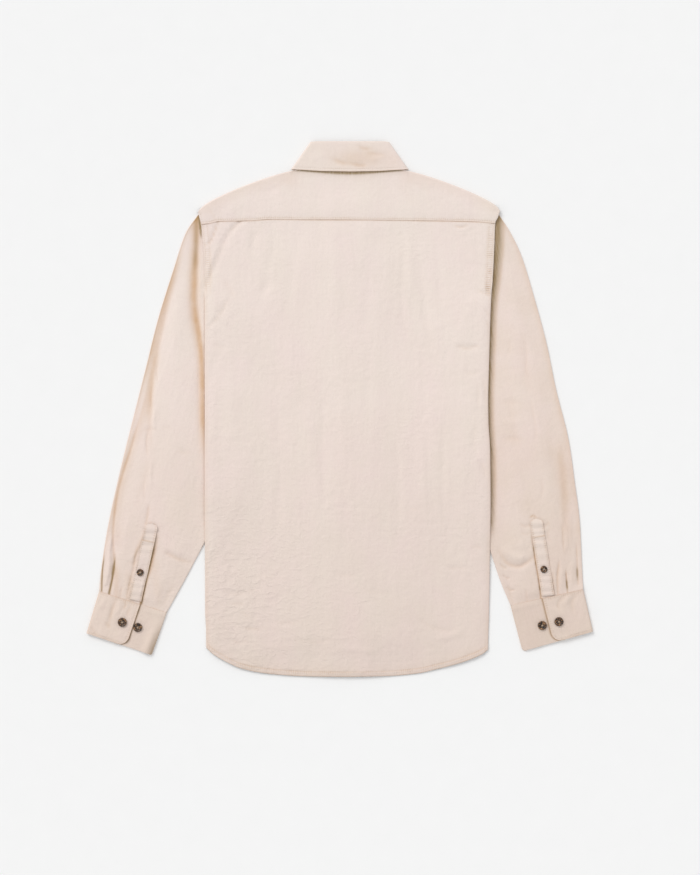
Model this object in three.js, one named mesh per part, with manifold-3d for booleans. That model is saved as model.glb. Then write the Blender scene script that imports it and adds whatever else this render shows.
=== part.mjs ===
// A brushed-cotton flannel shirt lying flat on its front, back side up: collar turned down, both
// sides of the body turned under, sleeves laid down beside it and tucked under its edges.
// Units are millimetres. +X is to the right as the back is seen from above, +Y runs from the hem
// to the collar and +Z points up from the surface that the shirt lies on.
// The tables give places in the garment's own plan, where x = 0 is the centre back line.
import * as THREE from "three";
import { mergeVertices } from "three/addons/utils/BufferGeometryUtils.js";
import Module from "manifold-3d";

const wasm = await Module();
wasm.setup();

// ---------------------------------------------------------------- driving dimensions
const CLOTH = 1; // wall of one layer of flannel
const BAND = 1.2; // wall of the collar's leaf and stand: two layers and interlining
const CUFF = 1.6; // wall of a cuff: two layers and interlining
const GAP = 0.35; // air at a seam where two edges meet
const PITCH = 1.6; // from the middle of one lying layer to the next
const CUFF_PITCH = 2; // the same inside a cuff
const FLOOR = CLOTH / 2; // middle of a layer that lies on the surface

const CENTRE_SHIFT = 15.75; // centre back line from the middle of the whole outline
const HEM_LOW = -402; // lowest point of the back hem
const FRONT_HEM_SHORT = 8; // front hem shorter than the back hem
const HEM_SLANT = 0.4; // rise of the hem beyond the side fold, for each millimetre
const YOKE_SEAM = 285; // yoke seam at centre back
const YOKE_DROOP = 6; // fall of the yoke seam at the armholes
const YOKE_LAP = 9; // back panel tucked under the yoke
const YOKE_FRONT = 35; // yoke carried over the shoulder
const FLAP = 38; // side of the body turned under
const TUCK = 9; // sleeve head tucked under the back's armhole edge
const UNDERARM = { x: 150, y: 60 }; // where the sleeve's inner fold starts, under the body
const EDGE_TURNS = 168; // height where the armhole edge turns under
const NECK_HALF = 77; // half width of the neck opening
const SHOULDER_END = 296; // height of the shoulder's outer end
const BACK_NECK = 361; // back neckline at centre
const FRONT_NECK = 288; // front neckline at centre
const FRONT_OVERLAP = 16; // each front passes the centre line by this
const PLACKET_WIDTH = 35; // buttonhole band of the front
const BODY_RISE = 4.5; // back above the surface where it spans the middle of the body
const SLEEVE_LOFT = 3.3; // fullness of a sleeve between its folds
const SLEEVE_PLACKET = 19; // width of a sleeve placket
const LEAF_OUT = 2.85; // collar leaf from the middle of the flattened collar
const STAND_OUT = 1.25; // collar stand from the same
const CUFF_CORNER = 14; // radius of the cuff's overlap corner
const CUFF_UNDERLAP = 0.2; // share of the cuff's width that runs on under the overlap

// Where a layer climbs over what lies under it, from the start of the climb to its end: across is
// the distance from the centre back line and up the height above the middle of the outline.
const EDGE_ROLL = { up: [150, 196] }; // armhole edge of the body, rolled under below this
const SLEEVE_CLIMB = { inside: [46, 12], spread: 0.6 }; // from the sleeve's inner limit
const FLAP_CLIMB = { across: [138, 172], up: [105, 150] };
const COLLAR_CLIMB = { across: [92, 120], up: [205, 240], extra: 0.6 };
const PLACKET_CLIMB = { across: [20, 72] };
const BUTTON_CLIMB = { up: [262, 290], least: 0.4 }; // no front button above this
const HEM_CLIMB = { aboveHem: [4, 70] };
const YOKE_CLIMB = { up: [215, 280] };
const ARMHOLE_CLIMB = { across: [185, 205], up: [100, 150] };
const NECK_CLIMB = { up: [298, 340] };
const LOFT_CLIMB = { inside: [0, 45] }; // from a sleeve's folds
const LOFT_CLEAR = 6; // the sleeve stays flat this far beyond the body's side

const FRONT_BUTTON = { radius: 5.75, thick: 2, first: 252, pitch: 88, count: 7 };
const COLLAR_BUTTON = { radius: 5, thick: 2, y: 304 };
const CUFF_BUTTON = { radius: 6.75, thick: 2.6 };
const PLACKET_BUTTON = { radius: 5.25, thick: 2.3 };

// Half width of the body where its sides show.
const EDGE = [
  { y: -420, left: 217.5, right: 208.5 },
  { y: -330, left: 218.2, right: 209.2 },
  { y: 100, left: 218, right: 209.2 },
  { y: 172, left: 218.5, right: 211 },
  { y: 215, left: 220, right: 214.6 },
  { y: 257, left: 222, right: 217 },
  { y: 284, left: 224.6, right: 219.6 },
  { y: 300, left: 229.5, right: 226 },
];
// Rise of the hem above its lowest point; across is a share of the half width.
const HEM = [
  { across: 0, left: 0, right: 0 },
  { across: 0.28, left: 0.4, right: 1.1 },
  { across: 0.49, left: 3, right: 5 },
  { across: 0.62, left: 6.2, right: 11 },
  { across: 0.76, left: 13, right: 18.5 },
  { across: 0.88, left: 25, right: 27 },
  { across: 0.963, left: 36.5, right: 35 },
  { across: 1, left: 45, right: 42 },
];
// Fold of the yoke over the shoulder.
const SHOULDER = [
  { x: 77, y: 361 },
  { x: 87, y: 358.2 },
  { x: 110, y: 352.2 },
  { x: 160, y: 334.8 },
  { x: 200, y: 316.8 },
  { x: 216, y: 307.5 },
  { x: 230, y: 296 },
];
// Folds of the sleeves from the top down, x outwards from the centre line. An inner fold starts
// at the underarm. A cuff's corners follow, then its overlap edge as a share of its width, and
// the places of the placket and the buttons.
const SLEEVES = {
  left: {
    sign: -1,
    outer: [
      { x: 228.5, y: 292 },
      { x: 247.5, y: 263 },
      { x: 265.5, y: 209 },
      { x: 288, y: 137 },
      { x: 306, y: 65 },
      { x: 324, y: -7 },
      { x: 342, y: -79 },
      { x: 358.5, y: -151 },
      { x: 368.5, y: -205 },
      { x: 375, y: -252 },
      { x: 376.7, y: -273.2 },
    ],
    inner: [
      { x: 153, y: 0 },
      { x: 164, y: -70 },
      { x: 190, y: -146 },
      { x: 218, y: -200.6 },
      { x: 249, y: -259 },
      { x: 274.8, y: -305.6 },
    ],
    cuffTop: { outer: { x: 376.7, y: -273.8 }, inner: { x: 275, y: -306.2 } },
    cuffEnd: { outer: { x: 395.6, y: -336.7 }, inner: { x: 297.5, y: -369.4 } },
    overlap: 0.607,
    placket: { foot: { x: 322.4, y: -287 }, tip: { x: 296.3, y: -171 } },
    overlapButton: { x: 341.3, y: -320 },
    underlapButton: { x: 318.4, y: -327.9 },
    placketButton: { x: 314.4, y: -245.2 },
  },
  right: {
    sign: 1,
    outer: [
      { x: 225, y: 292 },
      { x: 243, y: 263 },
      { x: 259.5, y: 227 },
      { x: 276, y: 173 },
      { x: 295.5, y: 101 },
      { x: 310.5, y: 29 },
      { x: 328.5, y: -43 },
      { x: 339, y: -115 },
      { x: 345.5, y: -165 },
      { x: 348.5, y: -223 },
      { x: 350.9, y: -270.4 },
    ],
    inner: [
      { x: 152, y: 0 },
      { x: 162, y: -70 },
      { x: 184, y: -140 },
      { x: 209, y: -208 },
      { x: 226.5, y: -259 },
      { x: 241.3, y: -294.4 },
    ],
    cuffTop: { outer: { x: 350.9, y: -271 }, inner: { x: 241.5, y: -295 } },
    cuffEnd: { outer: { x: 365.4, y: -334 }, inner: { x: 259.5, y: -364 } },
    overlap: 0.56,
    placket: { foot: { x: 297.6, y: -280 }, tip: { x: 279, y: -164 } },
    overlapButton: { x: 313.8, y: -319.1 },
    underlapButton: { x: 289, y: -324.9 },
    placketButton: { x: 291.2, y: -240.4 },
  },
};
// The right half of the collar, from centre back round the side to its front point. fold is where
// the leaf rolls over the stand, edge is the leaf's free edge and seam is x on the neckline.
const COLLAR_BACK = [
  { fold: { x: 0, y: 402 }, edge: { x: 0, y: 356.4 }, seam: 0 },
  { fold: { x: 30, y: 402 }, edge: { x: 44, y: 357.2 }, seam: 34 },
  { fold: { x: 50, y: 401.9 }, edge: { x: 74, y: 359 }, seam: 62 },
];
const COLLAR_SIDE = { fold: { x: 59, y: 401.3 }, edge: { x: 88.4, y: 359.6 }, seam: 76 };
const COLLAR_FRONT = [
  { fold: { x: 51, y: 384 }, edge: { x: 87.5, y: 338 }, seam: 76.5 },
  { fold: { x: 44.5, y: 357 }, edge: { x: 85, y: 308 }, seam: 75 },
  { fold: { x: 33, y: 336 }, edge: { x: 74, y: 282 }, seam: 61 },
  { fold: { x: 20, y: 325 }, edge: { x: 61, y: 264 }, seam: 37 },
  { fold: { x: 7, y: 320 }, edge: { x: 50, y: 254 }, seam: 18 },
];
const STAND_END = { x: -12, top: 316 }; // each end of the stand passes the centre line

// ---------------------------------------------------------------- small helpers
const lerp = THREE.MathUtils.lerp;
const smooth = (from, to, value) => THREE.MathUtils.smoothstep(value, from, to);
const sideOf = (x) => (x < 0 ? "left" : "right");

// A smooth function through a table's rows, with no overshoot between them.
function through(table, key, value) {
  const rows = [...table].sort((a, b) => a[key] - b[key]);
  const last = rows.length - 1;
  const slope = (i) => (rows[i + 1][value] - rows[i][value]) / (rows[i + 1][key] - rows[i][key]);
  const tangent = (i) => {
    if (i === 0) return slope(0);
    if (i === last) return slope(last - 1);
    const before = slope(i - 1);
    const after = slope(i);
    return before * after <= 0 ? 0 : (2 * before * after) / (before + after);
  };
  return (at) => {
    const clamped = Math.min(rows[last][key], Math.max(rows[0][key], at));
    let i = 0;
    while (i < last - 1 && rows[i + 1][key] < clamped) i++;
    const width = rows[i + 1][key] - rows[i][key];
    const t = (clamped - rows[i][key]) / width;
    const rest = 1 - t;
    const ends = rest * rest * (1 + 2 * t) * rows[i][value] + t * t * (3 - 2 * t) * rows[i + 1][value];
    return ends + t * rest * width * (rest * tangent(i) - t * tangent(i + 1));
  };
}

const edgeOf = { left: through(EDGE, "y", "left"), right: through(EDGE, "y", "right") };
const hemRise = { left: through(HEM, "across", "left"), right: through(HEM, "across", "right") };
const shoulderY = through(SHOULDER, "x", "y");
const outerOf = {
  left: through(SLEEVES.left.outer, "y", "x"),
  right: through(SLEEVES.right.outer, "y", "x"),
};
const innerOf = {
  left: through([UNDERARM, ...SLEEVES.left.inner], "y", "x"),
  right: through([UNDERARM, ...SLEEVES.right.inner], "y", "x"),
};

// ---------------------------------------------------------------- where the layers lie
// Inner limit of the sleeve under the body: its fold, then its seam up to the turned armhole edge.
function sleeveLimit(side, y) {
  if (y <= UNDERARM.y) return innerOf[side](y);
  const crossing = edgeOf[side](EDGE_TURNS) - TUCK;
  return lerp(UNDERARM.x, crossing, (y - UNDERARM.y) / (EDGE_TURNS - UNDERARM.y));
}
// The armhole edge of the body rolls under between these heights.
const rollAngle = (y) => Math.PI * (1 - smooth(...EDGE_ROLL.up, y));
const rollShare = (y) => (1 - Math.cos(rollAngle(y))) / 2;

// What lies under the front: the sleeve, the turned-under side and the collar leaf.
function sleeveLift(x, y) {
  const limit = sleeveLimit(sideOf(x), y) + SLEEVE_CLIMB.spread * Math.max(0, y - EDGE_TURNS);
  const [from, to] = SLEEVE_CLIMB.inside.map((inside) => limit - inside);
  return 2 * PITCH * smooth(from, to, Math.abs(x));
}
const flapLift = (x, y) => 2 * PITCH * smooth(...FLAP_CLIMB.across, Math.abs(x)) * rollShare(y);
const collarLift = (x, y) => {
  const share = (1 - smooth(...COLLAR_CLIMB.across, Math.abs(x))) * smooth(...COLLAR_CLIMB.up, y);
  return (BAND + COLLAR_CLIMB.extra) * share;
};
const placketShare = (x) => 1 - smooth(...PLACKET_CLIMB.across, Math.abs(x));
const placketLift = (y) => {
  const noButtons = smooth(...BUTTON_CLIMB.up, y);
  return GAP + PITCH + lerp(FRONT_BUTTON.thick, BUTTON_CLIMB.least, noButtons);
};

const frontLevel = (x, y) => {
  const lying = sleeveLift(x, y) + flapLift(x, y) + collarLift(x, y);
  return FLOOR + Math.max(lying, placketLift(y) * placketShare(x));
};
const frontRightLevel = (x, y) => frontLevel(x, y) + PITCH * placketShare(x);

const hemAt = (x, y) => HEM_LOW + hemRise[sideOf(x)](Math.abs(x) / edgeOf[sideOf(x)](y));
// The back lies on the front at the sides, over the placket and near the hem, and spans between.
function backLevel(x, y) {
  const fullness = lerp(PITCH, BODY_RISE, smooth(...HEM_CLIMB.aboveHem, y - hemAt(x, y)));
  const span = lerp(fullness, 2 * PITCH, smooth(...YOKE_CLIMB.up, y));
  const overSleeve = 2 * PITCH + 3 * PITCH * rollShare(y);
  const { across, up } = ARMHOLE_CLIMB;
  const atArmhole = overSleeve * smooth(...across, Math.abs(x)) * smooth(...up, y);
  return Math.max(frontRightLevel(x, y) + PITCH, FLOOR + span, FLOOR + atArmhole);
}
const collarMiddle = BAND / 2 + LEAF_OUT;
const neckLevel = collarMiddle + STAND_OUT;
const yokeLevel = (x, y) => {
  return lerp(backLevel(x, y) + PITCH, neckLevel, smooth(...NECK_CLIMB.up, y));
};
const underYokeLevel = (x) => FLOOR + collarLift(x, SHOULDER_END);

// A sleeve's upper wall: flat under the body, full between its folds where it lies free.
function sleeveUpper(side, x, y) {
  const free = Math.max(innerOf[side](y), edgeOf[side](y) + LOFT_CLEAR);
  const toOuter = outerOf[side](y) - Math.abs(x);
  const toInner = Math.abs(x) - free;
  const share = smooth(...LOFT_CLIMB.inside, toOuter) * smooth(...LOFT_CLIMB.inside, toInner);
  return FLOOR + PITCH + SLEEVE_LOFT * share;
}

// ---------------------------------------------------------------- cloth as walls
// Turns grids of middle points into one closed wall. Points that coincide become one, so grids
// that share an edge, or a grid whose first and last columns meet, are joined.
function wall(grids, thickness) {
  const places = [];
  for (const grid of grids)
    for (let i = 0; i + 1 < grid.length; i++)
      for (let j = 0; j + 1 < grid[i].length; j++) {
        const [a, b, c, d] = [grid[i][j], grid[i][j + 1], grid[i + 1][j + 1], grid[i + 1][j]];
        places.push(...a, ...d, ...c, ...a, ...c, ...b);
      }
  const loose = new THREE.BufferGeometry();
  loose.setAttribute("position", new THREE.Float32BufferAttribute(places, 3));
  const sheet = mergeVertices(loose, 1e-2);
  const corners = [...sheet.index.array];
  const faces = [];
  for (let i = 0; i < corners.length; i += 3) {
    const [a, b, c] = corners.slice(i, i + 3);
    if (a !== b && b !== c && c !== a) faces.push([a, b, c]);
  }
  sheet.setIndex(faces.flat());
  sheet.computeVertexNormals();
  const { position, normal } = sheet.attributes;
  const count = position.count;

  const points = [];
  for (const way of [0.5, -0.5])
    for (let i = 0; i < count; i++)
      points.push(
        position.getX(i) + normal.getX(i) * thickness * way,
        position.getY(i) + normal.getY(i) * thickness * way,
        position.getZ(i) + normal.getZ(i) * thickness * way,
      );

  const index = [];
  const rim = new Map();
  for (const [a, b, c] of faces) {
    index.push(a, b, c, a + count, c + count, b + count);
    for (const [from, to] of [[a, b], [b, c], [c, a]])
      if (!rim.delete(`${to} ${from}`)) rim.set(`${from} ${to}`, [from, to]);
  }
  for (const [from, to] of rim.values())
    index.push(from, to + count, to, from, from + count, to + count);

  const made = new THREE.BufferGeometry();
  made.setAttribute("position", new THREE.Float32BufferAttribute(points, 3));
  made.setIndex(index);
  return made;
}

// ---------------------------------------------------------------- body panels
// Shares of the width where a body panel has a column; finer over the placket and the sides.
const COLUMNS = [0, 0.09, 0.19, 0.28, 0.38, 0.52, 0.64, 0.73, 0.81, 0.89, 1];
const FOLD_STEPS = 4;
const FLAP_STEPS = 2;
const SIDE_X = 216; // where a row's height at the side is taken
// Heights of the rows, between a top and a hem that each panel has of its own.
const ROWS = [250, 215, 196, 182, 168, 159, 150, 128, 105, 60, -30, -120, -180, -245, -310];

// Heights down a panel at one place: its top, the shared rows and its hem.
const heights = (top, hem) => [
  top,
  lerp(top, ROWS[0], 0.5),
  ...ROWS,
  lerp(ROWS[ROWS.length - 1], hem, 0.5),
  hem,
];
const rowCount = heights(0, 0).length;

const BACK_ROLL = 1.5 * PITCH; // radius of the back's side fold
const FRONT_ROLL = PITCH / 2; // radius of the front's side fold, inside it

// The back from the middle out, round its side fold and back under; y(x, beyond) is the row.
function backHalfRow(side, y) {
  const sign = side === "left" ? -1 : 1;
  const height = y(sign * SIDE_X, 0);
  const angle = rollAngle(height);
  const bulge = Math.sin(Math.min(angle, Math.PI / 2));
  const straight = edgeOf[side](height) - (BACK_ROLL + CLOTH / 2) * bulge;
  const row = COLUMNS.map((share) => {
    const x = sign * share * straight;
    return [x, y(x, 0), backLevel(x, y(x, 0))];
  });
  const top = row[row.length - 1][2];
  return [...row, ...turnUnder({ sign, straight, top, radius: BACK_ROLL, angle, y, under: 0 })];
}

function frontHalfRow(side, y) {
  const sign = side === "left" ? -1 : 1;
  const level = side === "left" ? frontLevel : frontRightLevel;
  const height = y(sign * SIDE_X, 0);
  const turned = 1 - smooth(EDGE_ROLL.up[0], EDGE_TURNS, height);
  const edge = edgeOf[side](height);
  const straight = lerp(edge - TUCK - GAP, edge - BACK_ROLL - CLOTH / 2, turned);
  const row = COLUMNS.map((share) => {
    const x = sign * lerp(-FRONT_OVERLAP, straight, share);
    return [x, y(x, 0), level(x, y(x, 0))];
  });
  const top = row[row.length - 1][2];
  const angle = Math.PI * turned;
  return [...row, ...turnUnder({ sign, straight, top, radius: FRONT_ROLL, angle, y, under: PITCH })];
}

// The side fold and the strip that runs back under the body.
function turnUnder({ sign, straight, top, radius, angle, y, under }) {
  const points = [];
  for (let i = 1; i <= FOLD_STEPS; i++) {
    const turn = (angle * i) / FOLD_STEPS;
    const beyond = radius * turn;
    const x = sign * (straight + radius * Math.sin(turn));
    points.push([x, y(sign * straight, beyond), top - radius * (1 - Math.cos(turn))]);
  }
  const height = y(sign * straight, 0);
  const width = (FLAP - radius) * (1 - smooth(...FLAP_CLIMB.up, height));
  for (let i = 1; i <= FLAP_STEPS; i++) {
    const along = (width * i) / FLAP_STEPS;
    const x = sign * (straight - along);
    const lying = FLOOR + sleeveLift(x, height) + under;
    const z = width > 0 ? lying : points[points.length - 1][2];
    const flat = width > 0 ? x : points[points.length - 1][0];
    points.push([flat, y(sign * straight, radius * Math.PI + along), z]);
  }
  return points;
}

const backNeckAt = (x) => lerp(BACK_NECK, shoulderY(NECK_HALF), (x / NECK_HALF) ** 2);
const yokeSeamAt = (x) => YOKE_SEAM - YOKE_DROOP * smooth(175, 222, Math.abs(x));

function backPanel() {
  const rows = [];
  for (let i = 0; i < rowCount; i++) {
    const y = (x, beyond) => {
      const hem = hemAt(x, HEM_LOW) + HEM_SLANT * beyond;
      return heights(yokeSeamAt(x) + YOKE_LAP, hem)[i];
    };
    rows.push([...backHalfRow("left", y).slice(1).reverse(), ...backHalfRow("right", y)]);
  }
  return wall([rows], CLOTH);
}

const NECK_BEND = 2.2; // power of the front neckline's curve; a higher one is squarer
const SHORT_FADES = 8; // the front hem's shortness ends this far round the side fold

// Top of a front: the neckline, then the seam to the yoke's front strip.
function frontTopAt(x) {
  const across = Math.abs(x);
  if (across >= NECK_HALF) return shoulderY(across) - YOKE_FRONT - GAP;
  const corner = shoulderY(NECK_HALF) - YOKE_FRONT - GAP;
  return lerp(FRONT_NECK, corner, (across / NECK_HALF) ** NECK_BEND);
}

function frontPanel(side) {
  const rows = [];
  for (let i = 0; i < rowCount; i++) {
    const y = (x, beyond) => {
      const short = FRONT_HEM_SHORT * (1 - smooth(0, SHORT_FADES, beyond));
      return heights(frontTopAt(x), hemAt(x, HEM_LOW) + short + HEM_SLANT * beyond)[i];
    };
    const row = frontHalfRow(side, y);
    rows.push(side === "left" ? row.reverse() : row);
  }
  return wall([rows], CLOTH);
}

// Shares of the neck's half width and of the shoulder where the yoke has a column, shares of its
// height where it has a row, and the rows of its front strip with the height each follows.
const YOKE_NECK_COLUMNS = [0, 0.26, 0.55, 0.8];
const YOKE_COLUMNS = [0, 0.14, 0.32, 0.52, 0.7, 0.84, 0.94, 1];
const YOKE_ROWS = [0, 0.1, 0.3, 0.5, 0.75, 1];
const YOKE_STRIP_ROWS = [
  { share: 0.5, height: 278 },
  { share: 1, height: 262 },
];
const YOKE_FOLD_STEPS = 5;
const END_BEND = 3; // power with which the yoke's ends come to follow the armhole edge

// The yoke: the part seen from the back, its fold over the shoulders and a strip down the front.
function yoke() {
  const radiusAt = (x) => (neckLevel - underYokeLevel(x)) / 2;
  const foldStart = (x) => shoulderY(Math.abs(x)) - radiusAt(x) - CLOTH / 2;

  const half = (side, cutBack, height = SHOULDER_END) => {
    const sign = side === "left" ? -1 : 1;
    const end = edgeOf[side](height) - cutBack;
    return YOKE_COLUMNS.map((share) => sign * lerp(NECK_HALF, end, share));
  };
  const neck = YOKE_NECK_COLUMNS.map((share) => share * NECK_HALF);
  const xs = [
    ...[...neck.slice(1), ...half("left", 0).map(Math.abs)].reverse().map((x) => -x),
    ...neck,
    ...half("right", 0),
  ];
  const topOf = (x) => (Math.abs(x) < NECK_HALF ? backNeckAt(x) : foldStart(x));
  // Each end follows the back's armhole edge down to the seam.
  const followEdge = (x, y) => {
    const edge = edgeOf[x < 0 ? "left" : "right"];
    const beyond = Math.max(0, Math.abs(x) - NECK_HALF) / (edge(SHOULDER_END) - NECK_HALF);
    const shift = edge(Math.min(y, SHOULDER_END)) - edge(SHOULDER_END);
    return x + Math.sign(x) * shift * beyond ** END_BEND;
  };
  const upper = YOKE_ROWS.map((share) =>
    xs.map((x) => {
      const y = lerp(yokeSeamAt(x), topOf(x), share);
      return [followEdge(x, y), y, yokeLevel(x, y)];
    }),
  );
  const grids = [upper.reverse()];

  for (const side of ["left", "right"]) {
    const rows = [];
    for (let i = 0; i <= YOKE_FOLD_STEPS; i++) {
      const turn = (Math.PI * i) / YOKE_FOLD_STEPS;
      const row = half(side, ((TUCK + GAP) * i) / YOKE_FOLD_STEPS).map((x) => {
        const top = yokeLevel(x, foldStart(x));
        const radius = (top - underYokeLevel(x)) / 2;
        return [x, foldStart(x) + radius * Math.sin(turn), top - radius * (1 - Math.cos(turn))];
      });
      rows.push(row);
    }
    for (const { share, height } of YOKE_STRIP_ROWS)
      rows.push(
        half(side, TUCK + GAP, height).map((x) => {
          const y = lerp(foldStart(x), shoulderY(Math.abs(x)) - YOKE_FRONT, share);
          return [x, y, underYokeLevel(x)];
        }),
      );
    if (side === "left") rows.forEach((row) => row.reverse());
    grids.push(rows.reverse());
  }
  return wall(grids, CLOTH);
}

// The band sewn along the wearer's left front, which carries the buttonholes.
function frontPlacket() {
  const columns = [-0.5, 0, 0.5].map((share) => share * PLACKET_WIDTH);
  const rows = [];
  for (let i = 0; i < rowCount; i++)
    rows.push(
      columns.map((x) => {
        const hem = hemAt(x, HEM_LOW) + FRONT_HEM_SHORT;
        const y = heights(frontTopAt(x), hem)[i];
        return [x, y, frontLevel(x, y) - PITCH];
      }),
    );
  return wall([rows], CLOTH);
}

// ---------------------------------------------------------------- collar
const SIDE_STEPS = 4;
const ROLL_STEPS = 4;
const SEAM_CLEAR = 1.3; // air at the front neckline, where the facets of both edges bow
const rollRadius = (LEAF_OUT - STAND_OUT) / 2;

// The collar's right half in stations; angle turns from the back (0) round to the front (PI).
function collarHalf() {
  const seamOf = (x, y) => new THREE.Vector2(x, y);
  const stations = COLLAR_BACK.map((row) => ({
    ...row,
    angle: 0,
    inset: 0,
    seam: seamOf(row.seam, backNeckAt(row.seam) + GAP),
  }));
  for (let i = 0; i <= SIDE_STEPS; i++)
    stations.push({
      ...COLLAR_SIDE,
      angle: (Math.PI * i) / SIDE_STEPS,
      inset: LEAF_OUT + BAND / 2,
      seam: seamOf(COLLAR_SIDE.seam, shoulderY(NECK_HALF) + 1),
    });
  for (const row of COLLAR_FRONT)
    stations.push({
      ...row,
      angle: Math.PI,
      inset: 0,
      seam: seamOf(row.seam, frontTopAt(row.seam) + SEAM_CLEAR),
    });
  return stations.map(({ fold, edge, seam, angle, inset }) => {
    const outline = new THREE.Vector2(fold.x, fold.y);
    const free = new THREE.Vector2(edge.x, edge.y);
    const up = outline.clone().sub(free).normalize();
    const out = new THREE.Vector2(up.y, -up.x);
    const shift = out.clone().multiplyScalar(-inset);
    const base = outline.addScaledVector(up, -rollRadius - BAND / 2).add(shift);
    return { base, edge: free.add(shift), seam, up, out, angle };
  });
}

// A place in the collar: plan point, station and distance from the collar's middle.
function collarPoint(plan, station, distance, sign) {
  const away = distance * Math.sin(station.angle);
  const x = plan.x + station.out.x * away;
  const y = plan.y + station.out.y * away;
  return [sign * x, y, collarMiddle + distance * Math.cos(station.angle)];
}

function bothHalves(rowOf) {
  const stations = collarHalf();
  const left = stations.slice(1).reverse().map((station) => rowOf(station, -1));
  return [...left, ...stations.map((station) => rowOf(station, 1))];
}

function collarLeaf() {
  const rowOf = (station, sign) => {
    const row = [];
    for (let i = 0; i <= ROLL_STEPS; i++) {
      const turn = Math.PI * (1 - i / ROLL_STEPS);
      const plan = station.base.clone().addScaledVector(station.up, rollRadius * Math.sin(turn));
      const distance = (LEAF_OUT + STAND_OUT) / 2 + rollRadius * Math.cos(turn);
      row.push(collarPoint(plan, station, distance, sign));
    }
    for (const share of [0.33, 0.67, 1])
      row.push(collarPoint(station.base.clone().lerp(station.edge, share), station, LEAF_OUT, sign));
    return row;
  };
  return wall([bothHalves(rowOf)], BAND);
}

function collarStand() {
  const shares = [0, 0.5, 1];
  const rowOf = (station, sign) => {
    const top = station.base.clone().addScaledVector(station.up, -4 * GAP);
    return shares.map((share) =>
      collarPoint(top.clone().lerp(station.seam, share), station, STAND_OUT, sign),
    );
  };
  // The ends cross at the centre, the wearer's left one below, over the collar button.
  const end = (sign, x, level) =>
    shares.map((share) => {
      const seam = frontTopAt(x) + SEAM_CLEAR;
      return [sign * x, lerp(STAND_END.top, seam, share), level];
    });
  const low = COLLAR_BUTTON.thick + GAP + BAND / 2;
  const high = low + PITCH;
  const rows = bothHalves(rowOf);
  const inner = -STAND_END.x;
  rows.unshift(end(-1, STAND_END.x, low), end(-1, inner, low));
  rows.push(end(1, inner, high), end(1, STAND_END.x, high));
  return wall([rows], BAND);
}

// ---------------------------------------------------------------- sleeves
const SLEEVE_ROWS = [0, 0.06, 0.13, 0.21, 0.3, 0.4, 0.51, 0.62, 0.73, 0.83, 0.92, 1];
const SLEEVE_COLUMNS = [0, 0.09, 0.2, 0.33, 0.47, 0.61, 0.75, 0.88, 1];
const SLEEVE_FOLD_STEPS = 4;
const HEAD_FADE = 0.4; // share of the sleeve over which the armhole's curve dies away
const HEAD_HEIGHTS = [278, 225, EDGE_TURNS]; // where the sleeve head follows the armhole edge
const HEAD_LOW = 115; // where it follows its own seam under the body

const curve = (table) => new THREE.SplineCurve(table.map(({ x, y }) => new THREE.Vector2(x, y)));
const normalAt = (line, t) => {
  const along = line.getTangentAt(t);
  return new THREE.Vector2(-along.y, along.x);
};

function sleeve(side) {
  const { sign, outer, inner } = SLEEVES[side];
  const outerLine = curve(outer);
  const innerLine = curve([UNDERARM, ...inner]);
  const radius = PITCH / 2;
  const inset = radius + CLOTH / 2;
  const outerAt = (v) => outerLine.getPointAt(v).addScaledVector(normalAt(outerLine, v), -inset);
  const innerAt = (v) => innerLine.getPointAt(v).addScaledVector(normalAt(innerLine, v), inset);
  const underEdge = (y) => ({ x: edgeOf[side](y) - TUCK, y });
  const armhole = curve([
    outerAt(0),
    ...HEAD_HEIGHTS.map(underEdge),
    { x: sleeveLimit(side, HEAD_LOW), y: HEAD_LOW },
    innerAt(0),
  ]);

  const rows = SLEEVE_ROWS.map((v) => {
    const from = outerAt(v);
    const to = innerAt(v);
    const bend = 1 - smooth(0, HEAD_FADE, v);
    const across = SLEEVE_COLUMNS.map((u) => {
      const straight = outerAt(0).lerp(innerAt(0), u);
      const head = armhole.getPointAt(u).sub(straight).multiplyScalar(bend);
      return from.clone().lerp(to, u).add(head);
    });
    const upper = across.map(({ x, y }) => [sign * x, y, sleeveUpper(side, x, y)]);
    const lower = across.map(({ x, y }) => [sign * x, y, FLOOR]).reverse();
    const fold = (centre, away, start) => {
      const points = [];
      for (let i = 1; i < SLEEVE_FOLD_STEPS; i++) {
        const turn = start + (Math.PI * i) / SLEEVE_FOLD_STEPS;
        const place = centre.clone().addScaledVector(away, radius * Math.sin(turn) * (start ? -1 : 1));
        points.push([sign * place.x, place.y, FLOOR + radius * (1 + Math.cos(turn))]);
      }
      return points;
    };
    const innerFold = fold(to, normalAt(innerLine, v).negate(), 0);
    const outerFold = fold(from, normalAt(outerLine, v), Math.PI);
    return [...upper, ...innerFold, ...lower, ...outerFold, upper[0]];
  });
  return wall([rows], CLOTH);
}

// Rows of a sleeve placket as shares of its length, then of the quarter turn of its rounded top.
const STRIP_ROWS = [0, 0.16, 0.32, 0.48, 0.64, 0.8];
const STRIP_TURNS = [0, 0.35, 0.65, 0.88];
const STRIP_ROUND = 0.8; // depth of the rounded top as a share of the half width

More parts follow.
